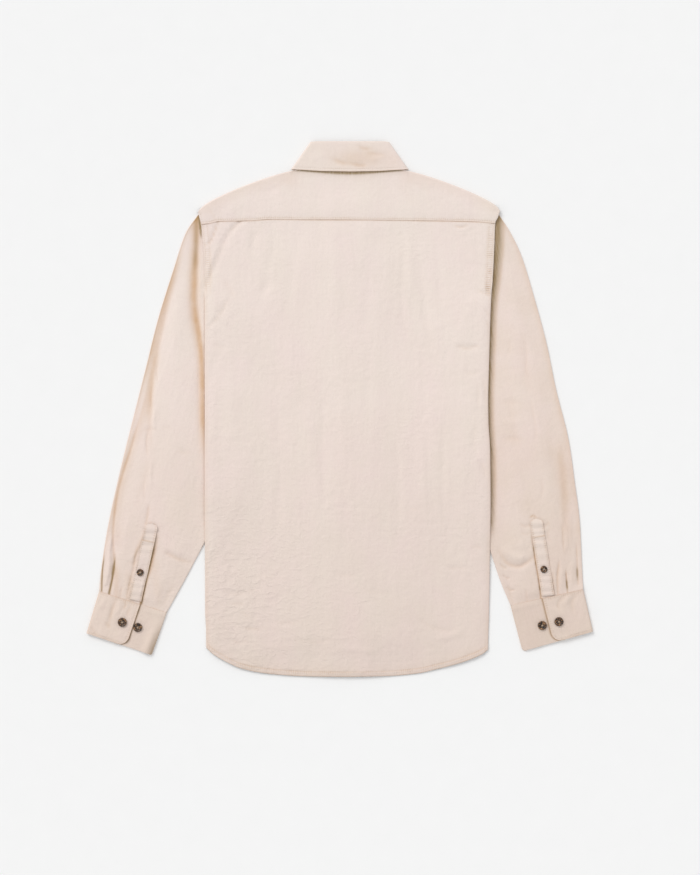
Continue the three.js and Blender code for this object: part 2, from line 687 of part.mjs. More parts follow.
// The strip that finishes the sleeve's opening, laid over it, with a rounded top.
function sleevePlacket(side) {
  const { sign, placket } = SLEEVES[side];
  const foot = new THREE.Vector2(placket.foot.x, placket.foot.y);
  const tip = new THREE.Vector2(placket.tip.x, placket.tip.y);
  const length = foot.distanceTo(tip);
  const across = new THREE.Vector2(tip.y - foot.y, foot.x - tip.x).normalize();
  const half = SLEEVE_PLACKET / 2;
  const round = STRIP_ROUND * half;
  const rows = STRIP_ROWS.map((share) => ({ along: share * length, width: half }));
  for (const turn of STRIP_TURNS.map((share) => (share * Math.PI) / 2))
    rows.push({ along: length - round * (1 - Math.sin(turn)), width: half * Math.cos(turn) });
  const grid = rows.map(({ along, width }) =>
    [-1, 0, 1].map((way) => {
      const place = foot.clone().lerp(tip, along / length).addScaledVector(across, way * width);
      return [sign * place.x, place.y, sleeveUpper(side, place.x, place.y) + PITCH];
    }),
  );
  return wall([grid], CLOTH);
}

// ---------------------------------------------------------------- cuffs
const CUFF_ROWS = [0, 0.4, 0.75, 0.85, 0.92, 0.97, 1];
const CUFF_STEPS = 4;
const CUFF_LEVELS = { lower: CUFF / 2, underlap: CUFF / 2 + CUFF_PITCH, overlap: CUFF / 2 + 2 * CUFF_PITCH };

// One band: from the overlap's edge out to the sleeve's outer fold, back underneath, round the
// inner fold and on under the overlap.
function cuff(side) {
  const { sign, cuffTop, cuffEnd, overlap } = SLEEVES[side];
  const rows = CUFF_ROWS.map((share) => {
    const from = new THREE.Vector2(cuffTop.outer.x, cuffTop.outer.y).lerp(cuffEnd.outer, share);
    const to = new THREE.Vector2(cuffTop.inner.x, cuffTop.inner.y).lerp(cuffEnd.inner, share);
    const width = from.distanceTo(to);
    const depth = new THREE.Vector2(cuffTop.outer.x, cuffTop.outer.y).distanceTo(cuffEnd.outer);
    const away = from.clone().sub(to).normalize();
    const outerRadius = CUFF_PITCH;
    const innerRadius = CUFF_PITCH / 2;
    const start = (outerRadius + CUFF / 2) / width;
    const end = 1 - (innerRadius + CUFF / 2) / width;

    const toCorner = Math.max(0, CUFF_CORNER - (1 - share) * depth);
    const cut = CUFF_CORNER - Math.sqrt(CUFF_CORNER ** 2 - toCorner ** 2);
    const row = [];
    const run = (first, last, level) => {
      for (let i = 0; i <= CUFF_STEPS; i++) {
        const place = from.clone().lerp(to, lerp(first, last, i / CUFF_STEPS));
        row.push([sign * place.x, place.y, level]);
      }
    };
    const fold = (at, direction, radius, top, down) => {
      for (let i = 1; i < CUFF_STEPS; i++) {
        const turn = (Math.PI * i) / CUFF_STEPS;
        const place = from.clone().lerp(to, at);
        place.addScaledVector(away, direction * radius * Math.sin(turn));
        row.push([sign * place.x, place.y, top - down * radius * (1 - Math.cos(turn))]);
      }
    };
    run(overlap - cut / width, start, CUFF_LEVELS.overlap);
    fold(start, 1, outerRadius, CUFF_LEVELS.overlap, 1);
    run(start, end, CUFF_LEVELS.lower);
    fold(end, -1, innerRadius, CUFF_LEVELS.lower, -1);
    run(end, overlap - CUFF_UNDERLAP, CUFF_LEVELS.underlap);
    return row;
  });
  return wall([rows], CUFF);
}

// ---------------------------------------------------------------- buttons
const HOLE = { radius: 0.85, out: 1.3, sides: 6 }; // out is its place both ways from the middle
const RIM = { bevel: 0.5, flat: 1.5, inside: 2.2 }; // distances from the button's edge
const DISH = 0.3; // depth of the dish as a share of the thickness

const asSolid = (geometry) => {
  geometry.deleteAttribute("normal");
  geometry.deleteAttribute("uv");
  const merged = mergeVertices(geometry, 1e-4);
  const vertProperties = new Float32Array(merged.attributes.position.array);
  return new wasm.Manifold(
    new wasm.Mesh({ numProp: 3, vertProperties, triVerts: new Uint32Array(merged.index.array) }),
  );
};
const asGeometry = (solid) => {
  const { vertProperties, triVerts } = solid.getMesh();
  const geometry = new THREE.BufferGeometry();
  geometry.setAttribute("position", new THREE.BufferAttribute(vertProperties, 3));
  geometry.setIndex(new THREE.BufferAttribute(triVerts, 1));
  return geometry;
};

const SEGMENTS = { cuff: 16, placket: 14, front: 10 };

// A turned disc with a raised rim round a shallow dish and four holes; its back is at z = 0.
function button({ radius, thick }, segments) {
  const profile = [
    [0, 0],
    [radius - RIM.bevel, 0],
    [radius, RIM.bevel],
    [radius, thick - RIM.bevel],
    [radius - RIM.bevel, thick],
    [radius - RIM.flat, thick],
    [radius - RIM.inside, thick * (1 - DISH)],
    [0, thick * (1 - DISH)],
  ].map(([x, y]) => new THREE.Vector2(x, y));
  let disc = asSolid(new THREE.LatheGeometry(profile, segments).rotateX(Math.PI / 2));
  for (let i = 0; i < 4; i++) {
    const turn = (Math.PI / 2) * (i + 0.5);
    const drill = new THREE.CylinderGeometry(HOLE.radius, HOLE.radius, 3 * thick, HOLE.sides);
    drill.rotateX(Math.PI / 2);
    drill.translate(HOLE.out * Math.SQRT2 * Math.cos(turn), HOLE.out * Math.SQRT2 * Math.sin(turn), 0);
    disc = disc.subtract(asSolid(drill));
  }
  return asGeometry(disc);
}

// ---------------------------------------------------------------- the shirt
const flannel = new THREE.MeshStandardMaterial({ color: 0xecdfd5, roughness: 0.95, metalness: 0 });
const horn = new THREE.MeshStandardMaterial({ color: 0x4a3428, roughness: 0.35, metalness: 0 });

const shirt = new THREE.Group();
shirt.position.x = CENTRE_SHIFT;

function add(name, geometry, material, [x, y, z] = [0, 0, 0]) {
  const mesh = new THREE.Mesh(geometry, material);
  mesh.name = name;
  mesh.position.set(x, y, z);
  shirt.add(mesh);
  return mesh;
}

add("back", backPanel(), flannel);
add("yoke", yoke(), flannel);
add("front_left", frontPanel("left"), flannel);
add("front_right", frontPanel("right"), flannel);
add("front_placket", frontPlacket(), flannel);
add("collar_leaf", collarLeaf(), flannel);
add("collar_stand", collarStand(), flannel);
for (const side of ["left", "right"]) {
  const { sign, overlapButton, underlapButton, placketButton } = SLEEVES[side];
  add(`sleeve_${side}`, sleeve(side), flannel);
  add(`sleeve_placket_${side}`, sleevePlacket(side), flannel);
  add(`cuff_${side}`, cuff(side), flannel);
  const onCuff = (place, level) => [sign * place.x, place.y, level + CUFF / 2 + GAP];
  const cuffButton = button(CUFF_BUTTON, SEGMENTS.cuff);
  add(`cuff_button_${side}`, cuffButton, horn, onCuff(overlapButton, CUFF_LEVELS.overlap));
  add(`cuff_button_${side}_inner`, cuffButton, horn, onCuff(underlapButton, CUFF_LEVELS.underlap));
  const { x, y } = placketButton;
  const above = sleeveUpper(side, x, y) + PITCH + CLOTH / 2 + 2 * GAP;
  add(`placket_button_${side}`, button(PLACKET_BUTTON, SEGMENTS.placket), horn, [sign * x, y, above]);
}
// The front's buttons face down and their faces lie on the surface.
const faceDown = (sizes) => button(sizes, SEGMENTS.front).rotateX(Math.PI).translate(0, 0, sizes.thick);
for (let i = 0; i < FRONT_BUTTON.count; i++) {
  const y = FRONT_BUTTON.first - i * FRONT_BUTTON.pitch;
  add(`front_button_${i + 1}`, faceDown(FRONT_BUTTON), horn, [0, y, 0]);
}
add("collar_button", faceDown(COLLAR_BUTTON), horn, [0, COLLAR_BUTTON.y, 0]);

export default shirt;
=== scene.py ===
"""A brushed-cotton flannel shirt laid flat on its front, back side up, on a plain pale floor.

Sizes are in millimetres in the garment's own plan, where x = 0 is the centre back line, +y runs
from the hem to the collar and +z points up from the floor. place() turns them into metres.
"""

import math

import bmesh
import bpy
import numpy as np
from mathutils import Matrix, Vector, noise


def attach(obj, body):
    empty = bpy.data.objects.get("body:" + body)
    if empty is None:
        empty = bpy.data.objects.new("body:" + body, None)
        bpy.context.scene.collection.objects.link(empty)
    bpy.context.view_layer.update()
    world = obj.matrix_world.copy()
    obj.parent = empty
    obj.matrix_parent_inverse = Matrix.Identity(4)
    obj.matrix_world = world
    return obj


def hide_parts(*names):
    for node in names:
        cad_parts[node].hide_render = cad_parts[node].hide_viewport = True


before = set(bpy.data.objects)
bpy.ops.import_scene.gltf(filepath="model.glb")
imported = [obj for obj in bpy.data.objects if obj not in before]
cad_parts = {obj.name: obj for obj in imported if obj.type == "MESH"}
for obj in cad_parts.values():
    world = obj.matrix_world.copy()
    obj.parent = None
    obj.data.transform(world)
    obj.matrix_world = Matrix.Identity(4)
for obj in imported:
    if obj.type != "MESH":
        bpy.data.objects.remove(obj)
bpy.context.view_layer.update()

MM = 0.001
SHOWN = 0.8  # wall of one layer of flannel
LEAF_SHOWN = 1.2
STAND_SHOWN = 1.1
BAND_SHOWN = 0.9
CUFF_SHOWN = 1.5
CENTRE_SHIFT = 15.75
FLOOR = 0.5  # middle of a layer that lies on the surface
PITCH = 1.6
CUFF_PITCH = 2
CUFF_HALF = 0.8
CUFF_LEVELS = {
    "lower": CUFF_HALF,
    "underlap": CUFF_HALF + CUFF_PITCH,
    "overlap": CUFF_HALF + 2 * CUFF_PITCH,
}
CLOTH = 1
GAP = 0.35
HEM_LOW = -402
FRONT_HEM_SHORT = 8
HEM_SLANT = 0.4
HEM_BAND = 7
YOKE_LAP = 9
YOKE_FRONT = 35
YOKE_SIDE = 296  # where the yoke's sides are measured
FLAP = 38
TUCK = 9
UNDERARM = (150, 60)
EDGE_TURNS = 168
NECK_HALF = 77
BACK_NECK = 361
ARMHOLE_LAP = 1.05  # sleeve's middle below the back's at the armhole's turned edge
FRONT_NECK = 288
FRONT_OVERLAP = 16
PLACKET_WIDTH = 35
BODY_RISE = 4.5
SLEEVE_LOFT = 3.3
SLEEVE_PLACKET = 19
PLACKET_BOX = 0.24  # share of a sleeve placket above its box of stitches
LEAF_OUT = 2.85
STAND_OUT = 1.25
STAND_DROP = 1.4  # stand's top below the bottom of the roll
NECK_CLEAR = 1.3
CUFF_CORNER = 14
CUFF_FOLD_CORNER = {"left": 2, "right": 5}
CUFF_UNDERLAP = 0.2
CUFF_GIRTH = {"overlap": 0, "outer": 60, "lower": 70, "inner": 170, "underlap": 175}  # on the weave
COLLAR_MIDDLE = 0.63 + LEAF_OUT
COLLAR_ROLL = (LEAF_OUT - STAND_OUT) / 2
BACK_ROLL = 1.5 * PITCH  # radius of the back's side fold
FRONT_ROLL = PITCH / 2  # radius of the front's side fold, inside it
NECK_LEVEL = COLLAR_MIDDLE + STAND_OUT
HEAD_FADE = 0.4  # share of a sleeve's length over which its rows follow the armhole

# Heights where the rows of the body's panels change their spacing.
TOP_ROW = 300
HIGH_ROW = 250
LOW_ROW = -310

# Where a layer's level begins and ends its rise or fall, up along y or out from the centre,
# and how much it rises there.
EDGE_ROLL = (150, 196)
SLEEVE_CLIMB = (46, 12)  # in from the sleeve's inner limit
SLEEVE_SPREAD = 0.6  # how fast that limit widens above the turned edge
FLAP_CLIMB = (138, 172)
FLAP_END = (105, 150)
COLLAR_CLIMB = (205, 240)
COLLAR_FALL = (92, 120)
COLLAR_RISE = 1.8
PLACKET_CLIMB = (20, 72)
BUTTON_CLIMB = (262, 290)  # no front button above this
BUTTON_LEFT = 0.4
HEM_CLIMB = (4, 70)  # above the hem
YOKE_CLIMB = (215, 280)
ARMHOLE_CLIMB = (185, 205)
ARMHOLE_UP = (100, 150)
NECK_CLIMB = (298, 340)
LOFT_CLIMB = 45  # in from a sleeve's folds
DRAPE_CLIMB = (70, 182)
LOW_SIDE_CLIMB = (-215, -60)
HIGH_SIDE_FALL = (105, 270)
SIDES_JOIN = (60, 150)
MIDDLE_RISE = 2.5
MIDDLE_WIDE = 95
MIDDLE_CLIMB = (0, 60)  # above the hem

# How a body panel sinks beside its side fold, and how flat its low parts are pressed.
DROP_FADES = (140, 200)
DROP_LEFT = 0.4
DROP_WIDE = 6.5
PRESSED = 0.4  # share of its height that a panel loses where it is pressed
PRESSED_HEM = (-4, 60)  # above the hem
PRESSED_SIDE = (70, 170)
PRESSED_LOW = (-240, -110)

# Stitches: their size, and each row's distance from the edge or seam it follows.
STITCH = {"long": 2.3, "wide": 0.62, "high": 0.42, "pitch": 3.1, "aim": 0.8}
THREAD_PROUD = 0.02
ARMHOLE_ROWS = (2.6, 9.2)
ARMHOLE_ROWS_BEGIN = (168, 182)
ARMHOLE_ROWS_END = (272, 280)
YOKE_ROW = 2.2
YOKE_SIDE_ROW = 2.8
LEAF_ROW = 4.2
PLACKET_ROW = 1.8
CUFF_ROW = 3
CUFF_WIDE = 103
CUFF_DEEP = 66

BUTTONS = {
    "cuff": {"radius": 6.75, "thick": 2.6},
    "placket": {"radius": 5.25, "thick": 2.3},
    "front": {"radius": 5.75, "thick": 2, "first": 252, "pitch": 88, "count": 7},
    "collar": {"radius": 5, "thick": 2, "y": 304},
}
BUTTON_TURNS = {"cuff": -0.2, "cuff_inner": 0.35, "placket": 0.5}
HOLE_OUT = 1.3 * math.sqrt(2)
HOLE_RADIUS = 0.8
THREAD_SUNK = 0.12
STRAND = (2.1, 0.24, 0.3)  # half length, half width and half height of one strand
STRAND_LOW = 0.45  # middle of the lower pair below the button's face
STRAND_STEP = 0.25
FLAT_FACE = 2.2e-6  # faces of a button above this size stay flat

# Half width of the body where its sides show: y, left, right.
EDGE = [
    (-420, 216, 208),
    (-358, 216, 208.4),
    (-300, 217.4, 209.6),
    (-205, 217.6, 210.8),
    (-145, 218, 211.6),
    (-62, 218, 210.8),
    (-20, 217.8, 208.4),
    (14, 217.8, 208),
    (65, 218, 209.2),
    (141, 218, 211.4),
    (172, 218.3, 213),
    (218, 218.8, 216),
    (257, 221.4, 217.6),
    (279, 223.6, 218.6),
    (288, 226, 222.6),
    (300, 229.5, 227),
]
# Rise of the hem above its lowest point: share of the half width, left, right.
HEM = [
    (0, 0, 0),
    (0.28, 0.4, 1.1),
    (0.49, 3, 5),
    (0.62, 6.2, 11),
    (0.76, 13, 18.5),
    (0.88, 25, 27),
    (0.963, 36.5, 35),
    (1, 45, 42),
]
# Seam of the yoke: distance from the centre, left, right.
YOKE_LINE = [
    (0, 284, 284),
    (60, 284.3, 283.6),
    (118, 285, 282.8),
    (150, 283, 282.4),
    (199, 282, 281),
    (209, 279.6, 280),
    (224, 277.6, 279),
]
SHOULDER = [(77, 361), (87, 358.2), (110, 352.2), (160, 334.8), (200, 316.8), (216, 307.5), (230, 296)]

SLEEVES = {
    "left": {
        "sign": -1,
        "outer": [
            (228.5, 292), (247.5, 263), (265.5, 209), (288, 137), (306, 65),
            (324, -7), (342, -79), (358.5, -151), (368.5, -205), (375, -252),
            (376.7, -273.2),
        ],
        "inner": [(153, 0), (164, -70), (190, -146), (218, -200.6), (249, -259), (274.8, -305.6)],
        "cuff_top": ((376.7, -273.8), (275, -306.2)),
        "cuff_end": ((395.6, -336.7), (297.5, -369.4)),
        "overlap": 0.607,
        "placket": ((322.4, -287), (296.3, -171)),
        "buttons": ((341.3, -320), (318.4, -327.9)),
        "placket_button": (314.4, -245.2),
    },
    "right": {
        "sign": 1,
        "outer": [
            (225, 292), (243, 263), (259.5, 227), (276, 173), (295.5, 101),
            (310.5, 29), (328.5, -43), (339, -115), (345.5, -165), (348.5, -223),
            (350.9, -270.4),
        ],
        "inner": [(152, 0), (162, -70), (184, -140), (209, -208), (226.5, -259), (241.3, -294.4)],
        "cuff_top": ((350.9, -271), (241.5, -295)),
        "cuff_end": ((365.4, -334), (259.5, -364)),
        "overlap": 0.56,
        "placket": ((297.6, -280), (279, -164)),
        "buttons": ((313.8, -319.1), (289, -324.9)),
        "placket_button": (291.2, -240.4),
    },
}
# The collar's right half: fold, free edge, x on the neckline.
COLLAR_BACK = [((0, 402), (0, 356.4), 0), ((30, 402), (44, 357.2), 34), ((50, 401.9), (74, 359), 62)]
COLLAR_SIDE = ((59, 401.3), (88.4, 359.6), 76)
COLLAR_FRONT = [
    ((51, 384), (87.5, 338), 76.5),
    ((44.5, 357), (85, 308), 75),
    ((33, 336), (74, 282), 61),
    ((20, 325), (61, 264), 37),
    ((7, 320), (50, 254), 18),
]
STAND_END = (-12, 316)

# Troughs (below 0) and ridges: points from end to end, height, reach on its left and on its right
# going from the first point, how much of it is left at each end, and how much painted warm shade its core
# gets.
BACK_CREASES = [
    ([(-168, 281), (-183, 262), (-196, 236), (-212, 196), (-218, 182)], -1.3, 4.5, 3, 0.4, 1, 0.05),
    ([(-188, 258), (-201, 230), (-213, 204)], 0.8, 5, 4, 0, 0.3, 0),
    ([(-199, 280), (-204, 264), (-209, 252), (-217, 247)], -0.9, 2.4, 2, 0.7, 0.8, 0.3),
    ([(-165, 281), (-172, 274), (-180, 266)], -0.6, 3, 3, 1, 0, 0.1),
    ([(-137, 272), (-145, 250), (-141, 226)], -0.7, 6, 5, 0.2, 0, 0),
    ([(-176, 174), (-184, 162), (-196, 140), (-212, 122)], -0.8, 3, 2.6, 0.1, 0.8, 0.08),
    ([(-111, 202), (-122, 186), (-141, 167)], -0.5, 6, 5, 0, 0, 0),
    ([(-196, 96), (-204, 70), (-210, 30)], -0.5, 7, 6, 0, 0, 0),
    ([(156, 276), (166, 273), (176, 276)], -0.6, 2.2, 2.2, 0.2, 0.6, 0.2),
    ([(203, 186), (207, 177), (209, 167)], -0.8, 3, 2, 0.3, 0.6, 0.12),
    ([(202, 150), (206, 144), (210, 137)], -0.8, 3, 2.5, 0.2, 0.6, 0.1),
    ([(204, 133), (208, 124), (210, 114)], -0.7, 2.5, 2.5, 0.2, 0.5, 0.1),
    ([(198, 52), (203, 30), (205, 4)], -0.7, 3, 3, 0.1, 0.3, 0.06),
    ([(190, 40), (193, 20), (191, -6)], -0.5, 3, 3, 0, 0, 0.04),
    ([(156, 95), (175, 91.5), (198, 95)], -1.2, 2.6, 2.2, 0, 0, 0.2),
    ([(189, 180), (198, 175), (211, 170)], -0.7, 2.5, 2, 0, 0.9, 0.15),
    ([(206, 86), (210, 60), (209, 40)], -0.6, 5, 3, 0, 0.3, 0.1),
    ([(194, -74), (202, -92), (203, -108)], -0.8, 5, 4, 0, 0, 0.05),
    ([(-203, -262), (-180, -277), (-152, -274), (-129, -262)], -0.7, 4, 3, 0, 0, 0.03),
    ([(-181, -292), (-168, -293.5), (-157, -292)], -0.6, 2, 1.8, 0, 0, 0.1),
    ([(-164, -304), (-156, -309), (-147, -307)], -0.6, 2, 1.8, 0, 0, 0.1),
    ([(-164, -326), (-146, -331), (-127, -327)], -0.7, 2, 2, 0, 0, 0.12),
    ([(-181, -350), (-164, -349.5), (-148, -351)], -0.6, 1.8, 1.8, 0, 0, 0.1),
    ([(-120, -318), (-96, -322), (-66, -316)], -0.5, 3, 2.5, 0, 0, 0.04),
    ([(-86, -345), (-52, -350), (-20, -344)], -0.45, 3, 3, 0, 0, 0.03),
    ([(84, -146), (96, -150), (112, -147)], -0.4, 2.5, 2, 0, 0, 0.03),
    ([(180, -206), (188, -208), (200, -206)], -0.5, 2, 2, 0, 0, 0.05),
    ([(140, -236), (158, -240), (180, -239)], -0.5, 2.5, 2, 0, 0, 0.05),
    ([(-30, -246), (-8, -250), (20, -246)], -0.4, 3, 2.5, 0, 0, 0.02),
    ([(16, -268), (38, -276), (64, -275)], -0.4, 3, 2.5, 0, 0, 0.02),
    ([(96, -312), (128, -330), (164, -334)], -0.5, 4, 3, 0, 0, 0.03),
    ([(120, -346), (150, -342), (176, -330)], 0.6, 5, 4, 0, 0, 0),
    ([(-40, -366), (0, -361), (52, -366)], 0.5, 5, 4, 0, 0, 0),
    ([(-200, -200), (-204, -236), (-199, -262)], -0.6, 6, 5, 0, 0, 0.03),
    ([(-96, 120), (-88, 60), (-92, 0)], 0.5, 16, 14, 0, 0, 0),
    ([(46, 200), (40, 120), (44, 40)], 0.4, 18, 14, 0, 0, 0),
    ([(120, 40), (126, -40), (118, -130)], 0.5, 16, 12, 0, 0, 0),
    ([(-30, 60), (-36, -30), (-28, -150)], -0.4, 18, 14, 0, 0, 0),
    ([(70, -20), (66, -100), (74, -190)], -0.4, 15, 13, 0, 0, 0),
    ([(-150, -40), (-158, -110), (-150, -190)], 0.5, 14, 12, 0, 0, 0),
    ([(78, 262), (80, 210), (78, 163), (84, 80)], -0.45, 6, 4, 0.5, 0, 0),
    ([(88, 262), (92, 206), (96, 150)], 0.4, 5, 5, 0.6, 0, 0),
    ([(101, 255), (112, 163), (121, 80)], -0.5, 5, 6, 0.3, 0, 0),
    ([(131, 258), (134, 190), (139, 130)], -0.4, 6, 5, 0.4, 0, 0),
    ([(-112, 262), (-124, 200), (-134, 150)], -0.5, 6, 5, 0.6, 0, 0),
    ([(-75, 266), (-86, 206), (-94, 120)], -0.35, 6, 6, 0.5, 0, 0),
    ([(-26, 258), (-22, 190), (-28, 110)], 0.35, 8, 8, 0.3, 0, 0),
    ([(24, 240), (27, 170), (20, 90)], -0.3, 7, 6, 0, 0, 0),
    ([(-38, 30), (-43, -60), (-36, -170)], -0.45, 6, 5, 0, 0, 0),
    ([(-7, 60), (-11, -20), (-5, -90)], 0.4, 7, 6, 0, 0, 0),
    ([(23, 160), (28, 60), (19, -62)], -0.35, 7, 7, 0, 0, 0),
    ([(68, -10), (73, -130), (66, -228)], -0.45, 5, 6, 0, 0, 0),
    ([(105, -30), (112, -120), (107, -190)], 0.4, 6, 6, 0, 0, 0),
    ([(143, 20), (138, -100), (145, -226)], -0.45, 6, 5, 0, 0, 0),
    ([(-112, 30), (-105, -90), (-113, -230)], -0.4, 6, 6, 0, 0, 0),
    ([(-181, 70), (-176, 0), (-183, -80)], 0.4, 7, 6, 0, 0, 0),
    ([(-196, 196), (-182, 184), (-168, 160)], -0.5, 4, 4, 0, 0, 0.03),
    ([(-206, 150), (-190, 132), (-176, 128)], 0.45, 5, 4, 0.3, 0, 0),
    ([(-208, 100), (-196, 92), (-184, 96)], -0.4, 4, 4, 0.4, 0, 0.03),
    ([(168, 60), (182, 52), (198, 58)], -0.45, 4, 4, 0, 0.3, 0.03),
    ([(176, 20), (188, 6), (204, 8)], 0.4, 4, 4, 0, 0.3, 0),
    ([(190, -20), (186, -48), (192, -76)], -0.5, 4, 4, 0, 0, 0.03),
]
YOKE_CREASES = [
    ([(-212, 300), (-206, 292), (-203, 286)], -0.5, 3, 3, 0.2, 0.8, 0.1),
    ([(-120, 322), (-118, 306), (-121, 292)], 0.25, 10, 9, 0, 0, 0),
    ([(12, 344), (14, 324), (10, 300)], 0.25, 12, 10, 0, 0, 0),
    ([(70, 340), (86, 322), (92, 300)], -0.5, 7, 7, 0.3, 0, 0.02),
    ([(96, 342), (112, 330), (128, 322)], -0.5, 5, 5, 0.4, 0, 0.03),
    ([(150, 320), (160, 306), (158, 292)], 0.4, 8, 7, 0, 0, 0),
    ([(180, 312), (190, 300), (193, 290)], -0.5, 5, 5, 0, 0.3, 0.02),
    ([(-98, 340), (-116, 330), (-140, 322)], -0.4, 5, 5, 0.4, 0, 0.02),
    ([(-160, 316), (-172, 304), (-176, 290)], 0.45, 7, 6, 0, 0, 0),
    ([(-192, 306), (-196, 298), (-194, 288)], -0.5, 4, 4, 0, 0.3, 0.03),
    ([(-50, 346), (-46, 326), (-52, 304)], -0.35, 8, 8, 0.3, 0, 0),
    ([(34, 346), (40, 322), (36, 300)], 0.3, 8, 8, 0.3, 0, 0),
]
LEAF_CREASES = [
    ([(-28, 377), (-14, 370.5), (0, 368)], -0.8, 4.5, 5, 0.2, 0.3, 0.15),
    ([(0, 369), (14, 365.5), (29, 366)], -0.8, 4, 4, 0.3, 0.1, 0.22),
    ([(11, 395), (22, 391), (34, 391.5)], -0.5, 4, 4, 0.2, 0.2, 0.17),
    ([(20, 386), (38, 383), (58, 380)], -0.5, 4, 5, 0.2, 0.1, 0.12),
    ([(30, 373), (44, 376), (54, 379)], 0.5, 3, 3, 0, 0, 0.05),
    ([(-64, 372), (-48, 378), (-36, 386)], 0.4, 6, 6, 0, 0, 0),
]
